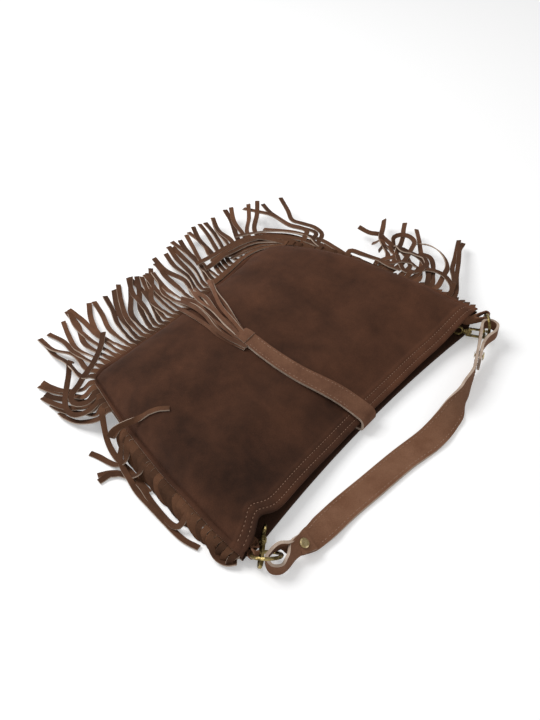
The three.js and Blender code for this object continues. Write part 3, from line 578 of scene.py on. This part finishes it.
def layStrand(bm, route, top, first, held, width=None, rolls=None):  # held points keep their height
    width = width or strand["width"] * random.uniform(0.88, 1.04)
    count, half = strand["steps"], strand["thick"] / 2
    points = catmull([Vector(p) for p in route], count)
    rests = []
    for i, p in enumerate(points):
        ahead = points[min(i + 1, count - 1)] - points[max(i - 1, 0)]
        side = Vector((-ahead.y, ahead.x, 0)).normalized() if ahead.xy.length > 1e-6 else Vector((1, 0, 0))
        below = [top[cellOf(p.x + side.x * k, p.y + side.y * k)] for k in (-0.3 * width, 0, 0.3 * width)]
        rests.append(max(below) + half)
    for i in range(held, count):
        points[i].z = max(points[i].z, rests[i])
    for turn in range(strand["easings"]):
        heights = [p.z for p in points]
        for i in range(max(held, 1), count - 1):
            eased = (heights[i - 1] + 2 * heights[i] + heights[i + 1]) / 4
            points[i].z = max(eased, rests[i])
    acrosses = acrossAlong(points, rolls or rollWave(0.55), first, held)
    addStrip(bm, points, acrosses, widthsAlong(points, width, held), random.choice(strand["tones"]))
    for i, p in enumerate(points):
        for k in (-0.4, -0.2, 0, 0.2, 0.4):
            q = p + acrosses[i] * width * k
            cell = cellOf(q.x, q.y)
            top[cell] = max(top[cell], p.z + half * 0.9)


def addHeader(bm, low, high, steps):  # the uncut strip that is sewn into the seam
    toneLayer = toneOf(bm)

    def place(u, v):
        at, tangent, outward = seamFrame(mix(low, high, u))
        return at + outward * mix(-header["inside"], header["outside"], v) - up * header["drop"]

    for vertex in addGrid(bm, steps, 2, place):
        vertex[toneLayer] = header["tone"]


# Bottom fringe: leaves the seam in a neat row, then leans and crosses on its way to the floor
bottomLie = {  # by share of the bottom seam: where a strand is halfway, and where its cut tip lies
    "share": [0, 0.05, 0.1, 0.16, 0.22, 0.28, 0.34, 0.42, 0.5, 0.54, 0.58, 0.64, 0.72, 0.8, 0.88, 0.95, 1],
    "midX": [-130, -114, -99, -81, -63, -42, -22, -5, 9, 16, 40, 56, 76, 97, 122, 145, 160],
    "midY": [163, 168, 171, 170, 167, 166, 166, 163, 161, 160, 160, 165, 168, 168, 165, 160, 152],
    "tipX": [-122, -101, -82, -60, -30, 2, 24, 32, 37, 43, 66, 84, 106, 131, 160, 190, 224],
    "tipY": [205, 226, 235, 236, 229, 227, 226, 221, 212, 214, 222, 226, 228, 229, 227, 213, 193],
    "tipZ": [2, 2, 2, 2, 2, 2, 3, 4, 5, 6, 7, 9, 11, 13, 15, 18, 21],
}


def bottomStrands():
    bm = bmesh.new()
    addHeader(bm, nearEnd, farEnd, 60)
    count = round((farEnd - nearEnd) * seamLength / strand["pitch"])
    order = list(range(count))
    random.shuffle(order)
    for i in order:
        share = (i + 0.5) / count
        at, tangent, outward = seamFrame(mix(nearEnd, farEnd, share))
        place = {key: float(np.interp(share, bottomLie["share"], row)) for key, row in bottomLie.items()}
        swing = random.choice((-1, 0, 0, 1)) * random.uniform(3, 9)  # some lean over a neighbour
        middle = Vector((place["midX"] + random.uniform(-3, 3) - swing * 0.3, place["midY"],
                         mix(at.z, place["tipZ"], 0.55)))
        tip = Vector((place["tipX"] + random.uniform(-4, 4) + swing,
                      place["tipY"] + random.uniform(-7, 4), place["tipZ"]))
        early, late = at + outward * 15, middle.lerp(tip, 0.55)
        early.z = at.z - 2.5
        late += Vector((random.uniform(-5, 5), random.uniform(-2, 2), 0))
        late.z = mix(middle.z, tip.z, 0.8)
        wave = rollWave(0.5)
        rolls = [random.uniform(0.4, 0.6) * clamp((k - 1) / 3) * clamp((16 - k) / 8) + wave[k]
                 for k in range(strand["steps"])]
        layStrand(bm, [at - outward, at + outward * 5, early, middle, late, tip], floorTop,
                  first=-tangent, held=5, rolls=rolls)
    return bm


# Side fringes: most strands curl over the edge, hang, and sweep along the floor
hang = {  # down the strand: mm off the seam, share of the fall, mm along the floor, roll in radians
    "out": [-1, 3.4, 6.2, 7.8, 7.8, 6, 0, -10], "fall": [0, 0.02, 0.12, 0.42, 0.72, 0.9, 0.96, 0.97],
    "sweep": [0, 0, 1.5, 5, 11, 19, 29, 40], "tilt": [0.05, 0.3, 0.6, 0.85, 0.9, 0.8, 0.5, 0.2],
}
farHang = dict(hang, out=[-1, 5, 9, 12, 14, 18, 24, 28], sweep=[0, 0, 1, 3, 7, 15, 28, 42])


def hangStrand(bm, s, lie, reach):
    at, tangent, outward = seamFrame(s)
    sweepWay = Vector((-tangent.x, -tangent.y, 0)).normalized()
    away, drift, lean = random.uniform(0.82, 1.1), random.uniform(-1.4, 1.4), random.uniform(0.8, 1.15)
    route, keys = [], len(lie["out"])
    for k in range(keys):
        out, swept = (away if k > 2 else 1), lie["sweep"][k] * reach + drift * min(1, k / 4)
        p = at + outward * lie["out"][k] * out + sweepWay * swept
        p.z = max(mix(at.z, 0.8, lie["fall"][k]), 0.8)
        route.append(p)
    points = catmull(route, strand["steps"])
    ways = tangentsOf(points)
    acrosses = []
    for i, way in enumerate(ways):
        level = (sweepWay - way * sweepWay.dot(way)).normalized()
        tilt = float(np.interp(i / (strand["steps"] - 1) * (keys - 1), range(keys), lie["tilt"]))
        acrosses.append(Matrix.Rotation(-tilt * lean, 3, way) @ level)
    widths = widthsAlong(points, strand["width"] - 0.3, 5)
    addStrip(bm, points, acrosses, widths, random.choice(strand["hangTones"]))


def nearestShare(y, low, high):  # where on the seam, between two shares, it passes a given y
    return min((mix(low, high, k / 200) for k in range(201)), key=lambda s: abs(seamAt(s).y - y))


def rooted(s, route, out=4):
    at, tangent, outward = seamFrame(s)
    return [at - outward, at + outward * out, *[Vector(p) for p in route]]


nearLoose = {  # loose strands of the near side: the y where each leaves the seam, then its turns
    "alongEdge": (80, [(-158, 76, 21), (-167, 64, 11), (-173, 52, 6), (-177, 38, 4), (-179, 22, 3),
                       (-182, 6, 3), (-185, -8, 3)]),
    "outToLeft": (34, [(-176, 28, 14), (-181, 33, 4), (-183, 44, 2), (-184, 56, 1.5), (-186, 66, 1.5)]),
    "longSweep": (-58, [(-196, -56, 8), (-198, -50, 3), (-195, -33, 2), (-190, -14, 2), (-185, 3, 2),
                        (-183, 17, 2), (-186, 29, 2), (-192, 36, 2), (-200, 41, 2)]),
    "shortTip": (6, [(-180, 8, 12), (-184, 16, 4), (-187, 26, 2), (-194, 33, 2), (-204, 35, 2)]),
    "lowest": (40, [(-178, 34, 9), (-184, 22, 2.5), (-190, 4, 2), (-195, -18, 2), (-199, -42, 2),
                    (-202, -64, 2), (-200, -80, 2)]),
    "mouthLoop": (-86, [(-196, -90, 10), (-199, -98, 5), (-198, -108, 4), (-193, -115, 6)]),
    "upOverEdge": (50, [(-171, 50, 21), (-173, 48, 28), (-169, 45, 34), (-162, 40, 38), (-155, 34, 41),
                        (-147, 27, 43), (-139, 20, 45), (-132, 13, 46)]),
    "cornerRise": (96, [(-158, 98, 24), (-164, 108, 21), (-158, 119, 20), (-143, 123, 22), (-128, 127, 24),
                        (-113, 134, 26), (-97, 144, 25), (-78, 161, 22)]),
    "cornerCurl": (88, [(-162, 92, 20), (-170, 104, 13), (-166, 120, 12), (-152, 135, 12), (-136, 150, 11),
                        (-120, 164, 9)]),
}


def nearStrands():
    bm = bmesh.new()
    addHeader(bm, header["low"], nearEnd, 40)
    count = round(nearEnd * seamLength / strand["pitch"])
    for i in range(count):
        t = (i + 0.5) / count
        s = mix(header["low"], nearEnd - 0.002, t)
        if t < 0.72:
            hangStrand(bm, s, hang, reach=smoothstep(t, 0, 0.3))
        elif t > 0.8:
            at, tangent, outward = seamFrame(s)
            k = (t - 0.8) / 0.2
            tip = Vector((mix(-176, -143, k), mix(112, 182, k), 2))
            tip += Vector((random.uniform(-9, 9), random.uniform(-10, 10), 0))
            turnA = at + outward * 12 + Vector((0, 3, -at.z * 0.35))
            turnB = at + outward * 15 + Vector((0, 16, -at.z * 0.68))
            turnB = turnB.lerp(tip, 0.15) + Vector((random.uniform(-5, 3), random.uniform(-4, 4), 0))
            late = turnB.lerp(tip, 0.55) + outward * 2
            layStrand(bm, [at - outward, at + outward * 5, turnA, turnB, late, tip], floorTop,
                      first=-tangent, held=5)
    for key, (y, turns) in nearLoose.items():
        s = nearestShare(y, 0, nearEnd)
        top, held = (bagTop, 18) if key == "upOverEdge" else (floorTop, 3)
        layStrand(bm, rooted(s, turns), top, first=-seamFrame(s)[1], held=held, width=5.4)
    return bm


# Far-side fringe: a bundle sweeps back over the bottom corner, others curl in loops
farLoose = [  # (where it leaves the seam, its turns on the way to the tip)
    (68, [(180, 76, 38), (189, 92, 38), (190, 112, 35), (192, 128, 32), (212, 150, 26), (236, 180, 20)]),
    (75, [(180, 84, 37), (184, 108, 34), (184, 126, 31), (191, 146, 27), (202, 170, 21), (216, 192, 16)]),
    (82, [(178, 96, 36), (180, 122, 32), (188, 141, 28), (195, 161, 24), (196, 183, 19), (195, 205, 15)]),
    (-28, [(192, -28, 31), (205, -26, 30), (222, -8, 28), (227, 7, 27), (239, 29, 23), (247, 41, 20),
           (246, 54, 17), (252, 73, 14)]),
    (-4, [(190, -4, 33), (206, 4, 31), (218, 17, 28), (232, 30, 25), (248, 39, 21), (264, 47, 18),
          (284, 58, 14)]),
    (-10, [(190, -11, 32), (204, -7, 31), (221, 1, 28), (238, 7, 25), (258, 16, 21), (276, 26, 16),
           (296, 36, 12)]),
    (-46, [(190, -47, 31), (205, -39, 30), (227, -28, 26), (248, -14, 21), (270, 1, 17), (293, 18, 12)]),
    (-16, [(192, -18, 32), (207, -17, 31), (236, -9, 28), (250, -4, 27), (258, 7, 25), (257, 18, 24),
           (249, 23, 22), (240, 17, 20)]),
    (-66, [(194, -68, 29), (216, -62, 27), (233, -57, 25), (250, -45, 22), (262, -29, 20), (266, -12, 18),
           (257, 3, 17)]),
    (-58, [(192, -56, 30), (205, -49, 30), (217, -38, 29), (226, -26, 28), (229, -13, 27), (225, 4, 25),
           (213, 20, 24)]),
    (-62, [(192, -62, 30), (206, -54, 28), (226, -43, 26), (238, -31, 25), (236, -18, 23)]),
    (-82, [(194, -84, 28), (204, -78, 29), (211, -66, 31), (211, -54, 32), (205, -44, 33), (194, -38, 33),
           (190, -28, 32), (198, -17, 31), (211, -5, 29)]),
    (-86, [(200, -82, 27), (217, -75, 24), (240, -60, 20), (267, -49, 17), (288, -40, 14), (305, -33, 12)]),
    (-90, [(202, -86, 26), (228, -72, 22), (258, -58, 18), (282, -46, 14), (303, -40, 12)]),
    (-40, [(194, -42, 31), (216, -40, 29), (227, -31, 27), (227, -20, 26), (223, -4, 24), (229, 9, 22)]),
    (-34, [(192, -36, 30), (206, -36, 27), (208, -24, 27), (198, -14, 30), (189, -6, 32), (180, 4, 35)]),
    (2, [(192, 0, 31), (208, -4, 29), (221, 12, 25), (228, 26, 22), (226, 37, 20)]),
    (30, [(178, 36, 37), (180, 22, 38), (184, 4, 36), (184, -14, 35), (188, -24, 33)]),
]


bundle = {"strands": 13, "low": -4, "step": 7.6, "reach": (96, 122), "spread": 34,
          "offsets": (3, 11, 18, 7, 14, 22)}


def bundleStrand(bm, j):  # swept back along the edge and over the bottom corner
    start = nearestShare(bundle["low"] + bundle["step"] * j, farEnd, header["high"])
    end = start - random.uniform(*bundle["reach"]) / seamLength
    offset = bundle["offsets"][j % len(bundle["offsets"])]
    away = random.uniform(0, bundle["spread"])
    route = []
    for k in range(1, 7):
        at, tangent, outward = seamFrame(mix(start, end, k / 6))
        out = mix(3, offset, smoothstep(k, 1, 3)) + away * (k / 6) ** 3
        lift = 3 + 1.5 * (j % 3) * math.sin(math.pi * k / 7) - 0.3 * away * (k / 6) ** 3
        route.append(at + outward * out + up * lift)
    layStrand(bm, rooted(start, route, 2), bagTop, first=-seamFrame(start)[1], held=3, rolls=rollWave(0.9))
    return start


def farStrands():
    bm = bmesh.new()
    addHeader(bm, farEnd, header["high"], 40)
    count = round((1 - farEnd) * seamLength / strand["pitch"])
    taken = [bundleStrand(bm, j) for j in range(bundle["strands"])]
    loose = [nearestShare(y, farEnd, header["high"]) for y, turns in farLoose]
    for i in range(count):
        s = mix(farEnd, 0.995, (i + 0.5) / count)
        if all(abs(s - other) * seamLength > strand["pitch"] * 0.35 for other in taken + loose):
            hangStrand(bm, s, farHang, reach=random.uniform(0.8, 1.1))
    for s, (y, turns) in zip(loose, farLoose):
        layStrand(bm, rooted(s, turns, 3), bagTop, first=-seamFrame(s)[1], held=4, rolls=rollWave(0.8))
    return bm


def declareCut(piece, across, root):  # a strip as wide as its seam and as long as its longest strand
    long = max(length for length, area in cutStrands) + root
    area = sum(area for length, area in cutStrands) + across * root
    print(piece.name, "flat", round(across), round(long), "area share", round(area / across / long, 2))
    cutStrands.clear()


fringes = (
    ("fringeBottom", bottomStrands, "fringe_bottom", farEnd - nearEnd),
    ("fringeNearSide", nearStrands, "fringe_near_side", nearEnd),
    ("fringeFarSide", farStrands, "fringe_far_side", 1 - farEnd),
)
for name, maker, node, seamShare in fringes:
    piece = finishPiece(name, maker(), [fringeSuede, cutEdge], strand["thick"])
    declareCut(piece, seamShare * seamLength, header["inside"] + header["outside"])
    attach(piece, "bag")
    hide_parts(node)
print("fringe laid")


# Ribbons: closure tab, shoulder strap; each station is a place, a way across and a width
def smoothStations(chosen, steps):
    places = catmull([at for at, across, width in chosen], steps * 4)
    marks, k = [0], 0
    for at, across, width in chosen[1:]:
        k = min(range(k, len(places)), key=lambda i: (places[i] - at).length + (1e3 if i < k else 0))
        marks.append(k)
    stations = []
    for i in range(steps + 1):
        index = min(i * 4, len(places) - 1)
        t = float(np.interp(index, marks, range(len(chosen))))
        a = min(int(t), len(chosen) - 2)
        ease = smoothstep(t - a, 0, 1)
        (acrossBefore, widthBefore), (acrossAfter, widthAfter) = chosen[a][1:], chosen[a + 1][1:]
        across = acrossBefore.lerp(acrossAfter, ease).normalized()
        stations.append((places[index], across, mix(widthBefore, widthAfter, ease)))
    return stations


def ribbonFrames(stations):
    frames = []
    for (at, across, width), tangent in zip(stations, tangentsOf([station[0] for station in stations])):
        flat = (across - tangent * across.dot(tangent)).normalized()
        frames.append((at, flat, tangent.cross(flat), tangent, width))
    return frames


def addRibbon(bm, frames, crossCells, bulge=0):
    toneLayer = toneOf(bm)
    last = len(frames) - 1

    def place(u, v):
        at, across, normal, tangent, width = frames[round(u * last)]
        return at + across * width * (v - 0.5) + normal * bulge * (1 - (2 * v - 1) ** 2)

    for vertex in addGrid(bm, last, crossCells, place):
        vertex[toneLayer] = 1


def addStitch(bm, at, ahead, normal, size):  # one stitch, half sunk in the suede
    length, width, height = size
    side = normal.cross(ahead).normalized()
    turn = Matrix((ahead * length, side * width, normal * height)).transposed().to_4x4()
    bmesh.ops.create_icosphere(bm, subdivisions=1, radius=0.5, matrix=Matrix.Translation(at) @ turn)


def stitchRibbon(bm, frames, inset, thick, spacing, first, last, faces=(1, -1)):
    reach = np.concatenate([[0], np.cumsum([(b[0] - a[0]).length for a, b in zip(frames, frames[1:])])])
    count = int((reach[last] - reach[first]) / spacing)
    for k in range(count):
        i = int(np.searchsorted(reach, reach[first] + spacing * (k + 0.5)))
        at, across, normal, tangent, width = frames[min(i, len(frames) - 1)]
        for side in (1, -1):
            for face in faces:
                spot = at + across * side * (width / 2 - inset) + normal * face * (thick / 2 + 0.05)
                addStitch(bm, spot, tangent, normal * face, (spacing * 0.62, 0.75, 0.6))


def overFront(u, v, height):
    return frontMiddle(u, v) + normalOf(frontMiddle, u, v) * (bag["suede"] / 2 + height)


# Closure tab: out of the mouth, round the rim and over the front, down to the tassel
tab = {"width": 20, "endWidth": 16, "thick": 2.6, "reach": 0.545, "inner": 26, "snapStack": 4.8, "flat": 1.9}
tabLine = {"v": [0, 0.07, 0.11, 0.15, 0.2, 0.27, 0.35, 0.44, 0.52, 0.6],
           "u": [0.497, 0.489, 0.483, 0.474, 0.462, 0.448, 0.439, 0.434, 0.433, 0.434]}


def tabPlace(v, height):
    return overFront(float(np.interp(v, tabLine["v"], tabLine["u"])), v, height)


def tabStations():
    rim, half = frontMiddle(0.497, 0), tab["thick"] / 2
    low, outside = 2 * bag["suede"] + 0.3 + half, rim.y - bag["suede"] - 2.3 - half
    across, inside = Vector((-1, 0, 0)), (tab["inner"], tab["inner"] / 2, 5)
    under = [(Vector((rim.x, rim.y + y, low)), across, tab["width"]) for y in inside]
    bend = [(Vector((rim.x, outside + 2.2, low + 0.8)), across, tab["width"]),
            (Vector((rim.x, outside, (low + rim.z) / 2 + 1)), across, tab["width"]),
            (Vector((rim.x, outside + 2, rim.z + bag["suede"] + half + 0.6)), across, tab["width"])]
    over = []
    for v in (0.03, 0.07, 0.11, 0.15, 0.2, 0.27, 0.35, 0.44, 0.5, tab["reach"]):
        height = mix(tab["snapStack"], tab["flat"], smoothstep(v, 0.15, 0.3))
        over.append((tabPlace(v, height), across, mix(tab["width"], tab["endWidth"], v / tab["reach"])))
    return smoothStations(under + bend + over, 120)


tabFrames = ribbonFrames(tabStations())
bm = bmesh.new()
addRibbon(bm, tabFrames, 6)
closureTab = finishPiece("closureTab", bm, [tabSuede, cutEdge], tab["thick"])
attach(closureTab, "bag")
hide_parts("closure_tab")


# Tassel: a wrapped head on the tab's end and nine long strands
tassel = {"strands": 9, "width": 3.7, "thick": 1.2, "headLength": 12, "headWidth": 17, "headSteps": 8,
          "edge": 104, "slope": 0.16, "tones": (0.72, 0.88, 1, 1.1)}
tasselLine = {"y": [9, 36, 62, 90, 120], "x": [-29, -27, -19, -7, 9], "spread": [10.5, 23, 29, 36, 50],
              "wave": [0, 2.6, 3.6, 3.8, 4.5], "lift": [1.6, 1.6, 1.6, 1.8, 2.4],
              "pile": [0.6, 1.6, 2.1, 2.1, 1.6]}


def tasselPlace(x, y, height):  # past the panel's edge the strands slope down over the fringe
    hit, normal = onFront(x, min(y, tassel["edge"]))
    base = hit + Vector((0, 0, height))
    if y > tassel["edge"]:
        base.y = y
        base.z -= tassel["slope"] * (y - tassel["edge"])
    return base


def tasselStrands():
    bm = bmesh.new()
    for i in range(tassel["strands"]):
        t = i / (tassel["strands"] - 1) - 0.5
        lag = random.uniform(-7, 5)
        route = []
        for k, y in enumerate(tasselLine["y"]):
            wave = random.uniform(-1, 1) * tasselLine["wave"][k]
            x = tasselLine["x"][k] + t * tasselLine["spread"][k] + wave
            lift = tasselLine["lift"][k] + (i * 5 % 3) * tasselLine["pile"][k]
            route.append(tasselPlace(x, y + lag * k / 4, lift))
        points = catmull(route, strand["steps"])
        size, phase, turned = random.uniform(0.3, 0.6), random.uniform(0, 6), random.choice((-0.7, -0.5, 0.4))
        rolls = [(turned + size * math.sin(phase + 6 * k / strand["steps"])) * clamp(k / 5)
                 for k in range(strand["steps"])]
        acrosses = acrossAlong(points, rolls, first=Vector((-1, 0, 0)))
        addStrip(bm, points, acrosses, widthsAlong(points, tassel["width"]), random.choice(tassel["tones"]))
    return bm


tasselBm = tasselStrands()
headEnd = tabFrames[-1]
headFrames = []
for k in range(tassel["headSteps"] + 1):  # the head wraps the tab's end and the roots of the strands
    f = k / tassel["headSteps"]
    at, across, normal, tangent, width = headEnd
    place = at + tangent * mix(-2, tassel["headLength"] - 2, f)
    place.z += 1.1 - 1.3 * f
    place += normal * 0.5 * math.sin(math.pi * f)
    turned = Matrix.Rotation(mix(0.1, -0.06, f), 3, normal) @ across
    headFrames.append((place, turned, normal, tangent, tassel["headWidth"] - 1.5 * f))
addRibbon(tasselBm, headFrames, 6, bulge=1)
tabTassel = finishPiece("tabTassel", tasselBm, [tabSuede, cutEdge], tassel["thick"] + 0.2)
declareCut(tabTassel, tassel["strands"] * tassel["width"], tassel["headLength"])
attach(tabTassel, "bag")
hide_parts("tab_tassel")
print("tab and tassel made")


# Shoulder strap: near tip, loop through the near ring, along the floor, loop through the far ring, tip
strap = {"width": 25, "endWidth": 11, "thick": 2.8, "stitchInset": 3, "stitchSpacing": 4.2}


def strapStations():
    n, f, end, wide = nearRing, farRing, strap["endWidth"], strap["width"]
    flat, onEdge, layer = strap["thick"] / 2 + 0.9, Vector((0, 0, 1)), strap["thick"] + 0.8
    main = [
        (n + Vector((2, -0.5, 0)), (-0.31, -0.25, 0.92), end),
        (n + Vector((13.2, -4, 2.6)), (-0.31, -0.05, 0.92), end + 1),
        (n + Vector((24, -13, -3.6)), (-0.1, 0.82, 0.56), end + 4),
        (n + Vector((39, -16, -6)), (0, 0.93, 0.37), wide - 4),
        (n + Vector((59, -16.5, -8.6)), (0, 0.98, 0.14), wide - 1),
        (Vector((n.x + 86, n.y - 17, flat)), (0, 1, 0), wide),
        (Vector((n.x + 119, n.y - 21, flat)), (0, 1, 0), wide),
        (Vector((mix(n.x, f.x, 0.45), n.y - 26, flat)), (0, 1, 0), wide),
        (Vector((f.x - 158, f.y - 31, flat + 1.8)), (0, 0.98, 0.14), wide),
        (Vector((f.x - 126, f.y - 32, flat + 6.5)), (0, 0.8, 0.55), wide - 1),
        (Vector((f.x - 94, f.y - 28, flat + 9.8)), (0, 0.25, 0.97), wide - 3),
        (Vector((f.x - 66, f.y - 22, flat + 9.8)), onEdge, wide - 4),
        (Vector((f.x - 45, f.y - 14, f.z - 2.5)), onEdge, end + 4),
        (Vector((f.x - 24, f.y - 5.5, f.z + 3)), onEdge, end + 1),
        (Vector((f.x - 8, f.y + 1.6, f.z + 4.4)), onEdge, end),
    ]
    main = [(at, Vector(across), width) for at, across, width in main]

    def onMain(index, blend):  # on the outer face of the main strap
        (a, acrossA, widthA), (b, acrossB, widthB) = main[index], main[index + 1]
        tangent = (b - a).normalized()
        across = acrossA.lerp(acrossB, blend).normalized()
        across = (across - tangent * across.dot(tangent)).normalized()
        return a.lerp(b, blend) + tangent.cross(across) * layer, across, mix(widthA, widthB, blend)

    last = len(main) - 1
    nearLoop = [((9, -15.5, -3.5), (-0.15, 0.2, 0.95)), ((0, -15.5, -4.2), onEdge),
                ((-5, -9.5, -4), onEdge), ((-3, -3, -2), onEdge)]
    farLoop = [(-1, 0.8, 3.9), (3, -4.5, 3.2), (1.5, -11, 2.4), (-7, -13.5, 1.6), (-19, -11.5, 1)]
    return (
        [onMain(2, 0.75), onMain(2, 0.25), onMain(1, 0.85)]
        + [(n + Vector(at), Vector(across), end) for at, across in nearLoop] + main
        + [(f + Vector(at), onEdge, end) for at in farLoop]
        + [onMain(last - 2, 0.55), onMain(last - 2, 0.1), onMain(last - 3, 0.6)]
    )


strapFrames = ribbonFrames(smoothStations(strapStations(), 300))
bm = bmesh.new()
addRibbon(bm, strapFrames, 6)
shoulderStrap = finishPiece("shoulderStrap", bm, [strapSuede, cutEdge], strap["thick"])
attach(shoulderStrap, "bag")
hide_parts("shoulder_strap")


# Stitching: two rows along the hem, one near each edge of the strap and the tab
stitching = {"hemSpacing": 3.4, "hemSize": (2.2, 0.7, 0.6), "strapFrames": (62, 232), "tabInset": 2.4,
             "tabSpacing": 3.8, "tabFrames": (40, 116)}


def hemStitches(bm):
    for down in sheets["stitchRows"]:
        v = down / bag["depth"]
        count = int(bag["mouth"] * 0.96 / stitching["hemSpacing"])
        for k in range(count):
            u = mix(0.015, 0.985, (k + 0.5) / count)
            middle, ahead = frontMiddle(u, v), frontMiddle(min(u + 0.004, 1), v)
            hit, normal = onFront(middle.x, middle.y)
            if hit is not None:
                way = (ahead - middle).normalized()
                addStitch(bm, hit + normal * 0.05, way, normal, stitching["hemSize"])


bm = bmesh.new()
hemStitches(bm)
stitchRibbon(bm, strapFrames, strap["stitchInset"], strap["thick"], strap["stitchSpacing"],
             *stitching["strapFrames"])
stitchRibbon(bm, tabFrames, stitching["tabInset"], tab["thick"], stitching["tabSpacing"],
             *stitching["tabFrames"], faces=(1,))
stitches = finishPiece("stitches", bm, [thread])
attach(stitches, "bag")
print("strap and stitching made")


# Side tabs: the solid model's folded tabs, with rounded and softened suede edges
sideTab = {"voxel": 0.8, "smooth": 6}
for name, node in (("sideTabNear", "side_tab_near"), ("sideTabFar", "side_tab_far")):
    bm = bmesh.new()
    bm.from_mesh(nodes[node].data)
    bmesh.ops.remove_doubles(bm, verts=bm.verts, dist=1e-6)
    bmesh.ops.scale(bm, vec=(1 / mm, 1 / mm, 1 / mm), verts=bm.verts)
    piece = finishPiece(name, bm, [strapSuede])
    remesh = piece.modifiers.new("even", "REMESH")
    remesh.mode, remesh.voxel_size, remesh.use_smooth_shade = "VOXEL", sideTab["voxel"] * mm, True
    soften = piece.modifiers.new("soften", "SMOOTH")
    soften.factor, soften.iterations = 0.5, sideTab["smooth"]
    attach(piece, "bag")
    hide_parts(node)
print("side tabs softened")


# Finish of the pieces kept from the solid model
finishes = {"strap_rivet_near": paleBrass, "strap_rivet_far": paleBrass}
for name, node in nodes.items():
    node.data.materials.clear()
    node.data.materials.append(finishes.get(name, oldBrass))


# Floor, lamps and world
studio = {
    "key": {"place": (-0.35, 0.95, 1.35), "power": 20, "size": 0.9},
    "fill": {"place": (-1.0, -1.2, 1.4), "power": 4, "size": 1.4},
    "worldLevel": 0.46, "floorGlow": 0.3, "floorHalf": 5000,
}


def makeFloor():
    bm = bmesh.new()
    bmesh.ops.create_grid(bm, x_segments=1, y_segments=1, size=studio["floorHalf"])
    floor = finishPiece("floor", bm, [])
    material = bpy.data.materials.new("paperFloor")
    material.use_nodes = True
    tree = material.node_tree
    tree.nodes.remove(tree.nodes["Principled BSDF"])
    paper = addNode(tree, "ShaderNodeBsdfDiffuse", {"Color": (0.8, 0.8, 0.8, 1)})
    glow = addNode(tree, "ShaderNodeEmission", {"Color": (1, 1, 1, 1), "Strength": studio["floorGlow"]})
    shown = addNode(tree, "ShaderNodeAddShader", links={0: paper.outputs[0], 1: glow.outputs[0]})
    rays = addNode(tree, "ShaderNodeLightPath")
    seen = addNode(tree, "ShaderNodeMath", {"operation": "MAXIMUM"},
                   {0: rays.outputs["Is Camera Ray"], 1: rays.outputs["Is Glossy Ray"]})
    seen = addNode(tree, "ShaderNodeMath", {"operation": "MAXIMUM"},
                   {0: seen.outputs[0], 1: rays.outputs["Is Transmission Ray"]})
    both = addNode(tree, "ShaderNodeMixShader",
                   links={0: seen.outputs[0], 1: paper.outputs[0], 2: shown.outputs[0]})
    tree.links.new(both.outputs[0], tree.nodes["Material Output"].inputs["Surface"])
    floor.data.materials.append(material)


def addLamp(name, place, power, size):
    data = bpy.data.lights.new(name, "AREA")
    data.energy = power
    data.size = size
    lamp = bpy.data.objects.new(name, data)
    lamp.location = place
    lamp.rotation_euler = (-Vector(place)).to_track_quat("-Z", "Y").to_euler()
    bpy.context.scene.collection.objects.link(lamp)


makeFloor()
addLamp("key", **studio["key"])
addLamp("fill", **studio["fill"])
world = bpy.data.worlds.new("studio")
bpy.context.scene.world = world
world.use_nodes = True
world.node_tree.nodes["Background"].inputs["Color"].default_value = (1, 1, 1, 1)
world.node_tree.nodes["Background"].inputs["Strength"].default_value = studio["worldLevel"]
bpy.context.scene.view_settings.view_transform = "Standard"
print("studio lit")
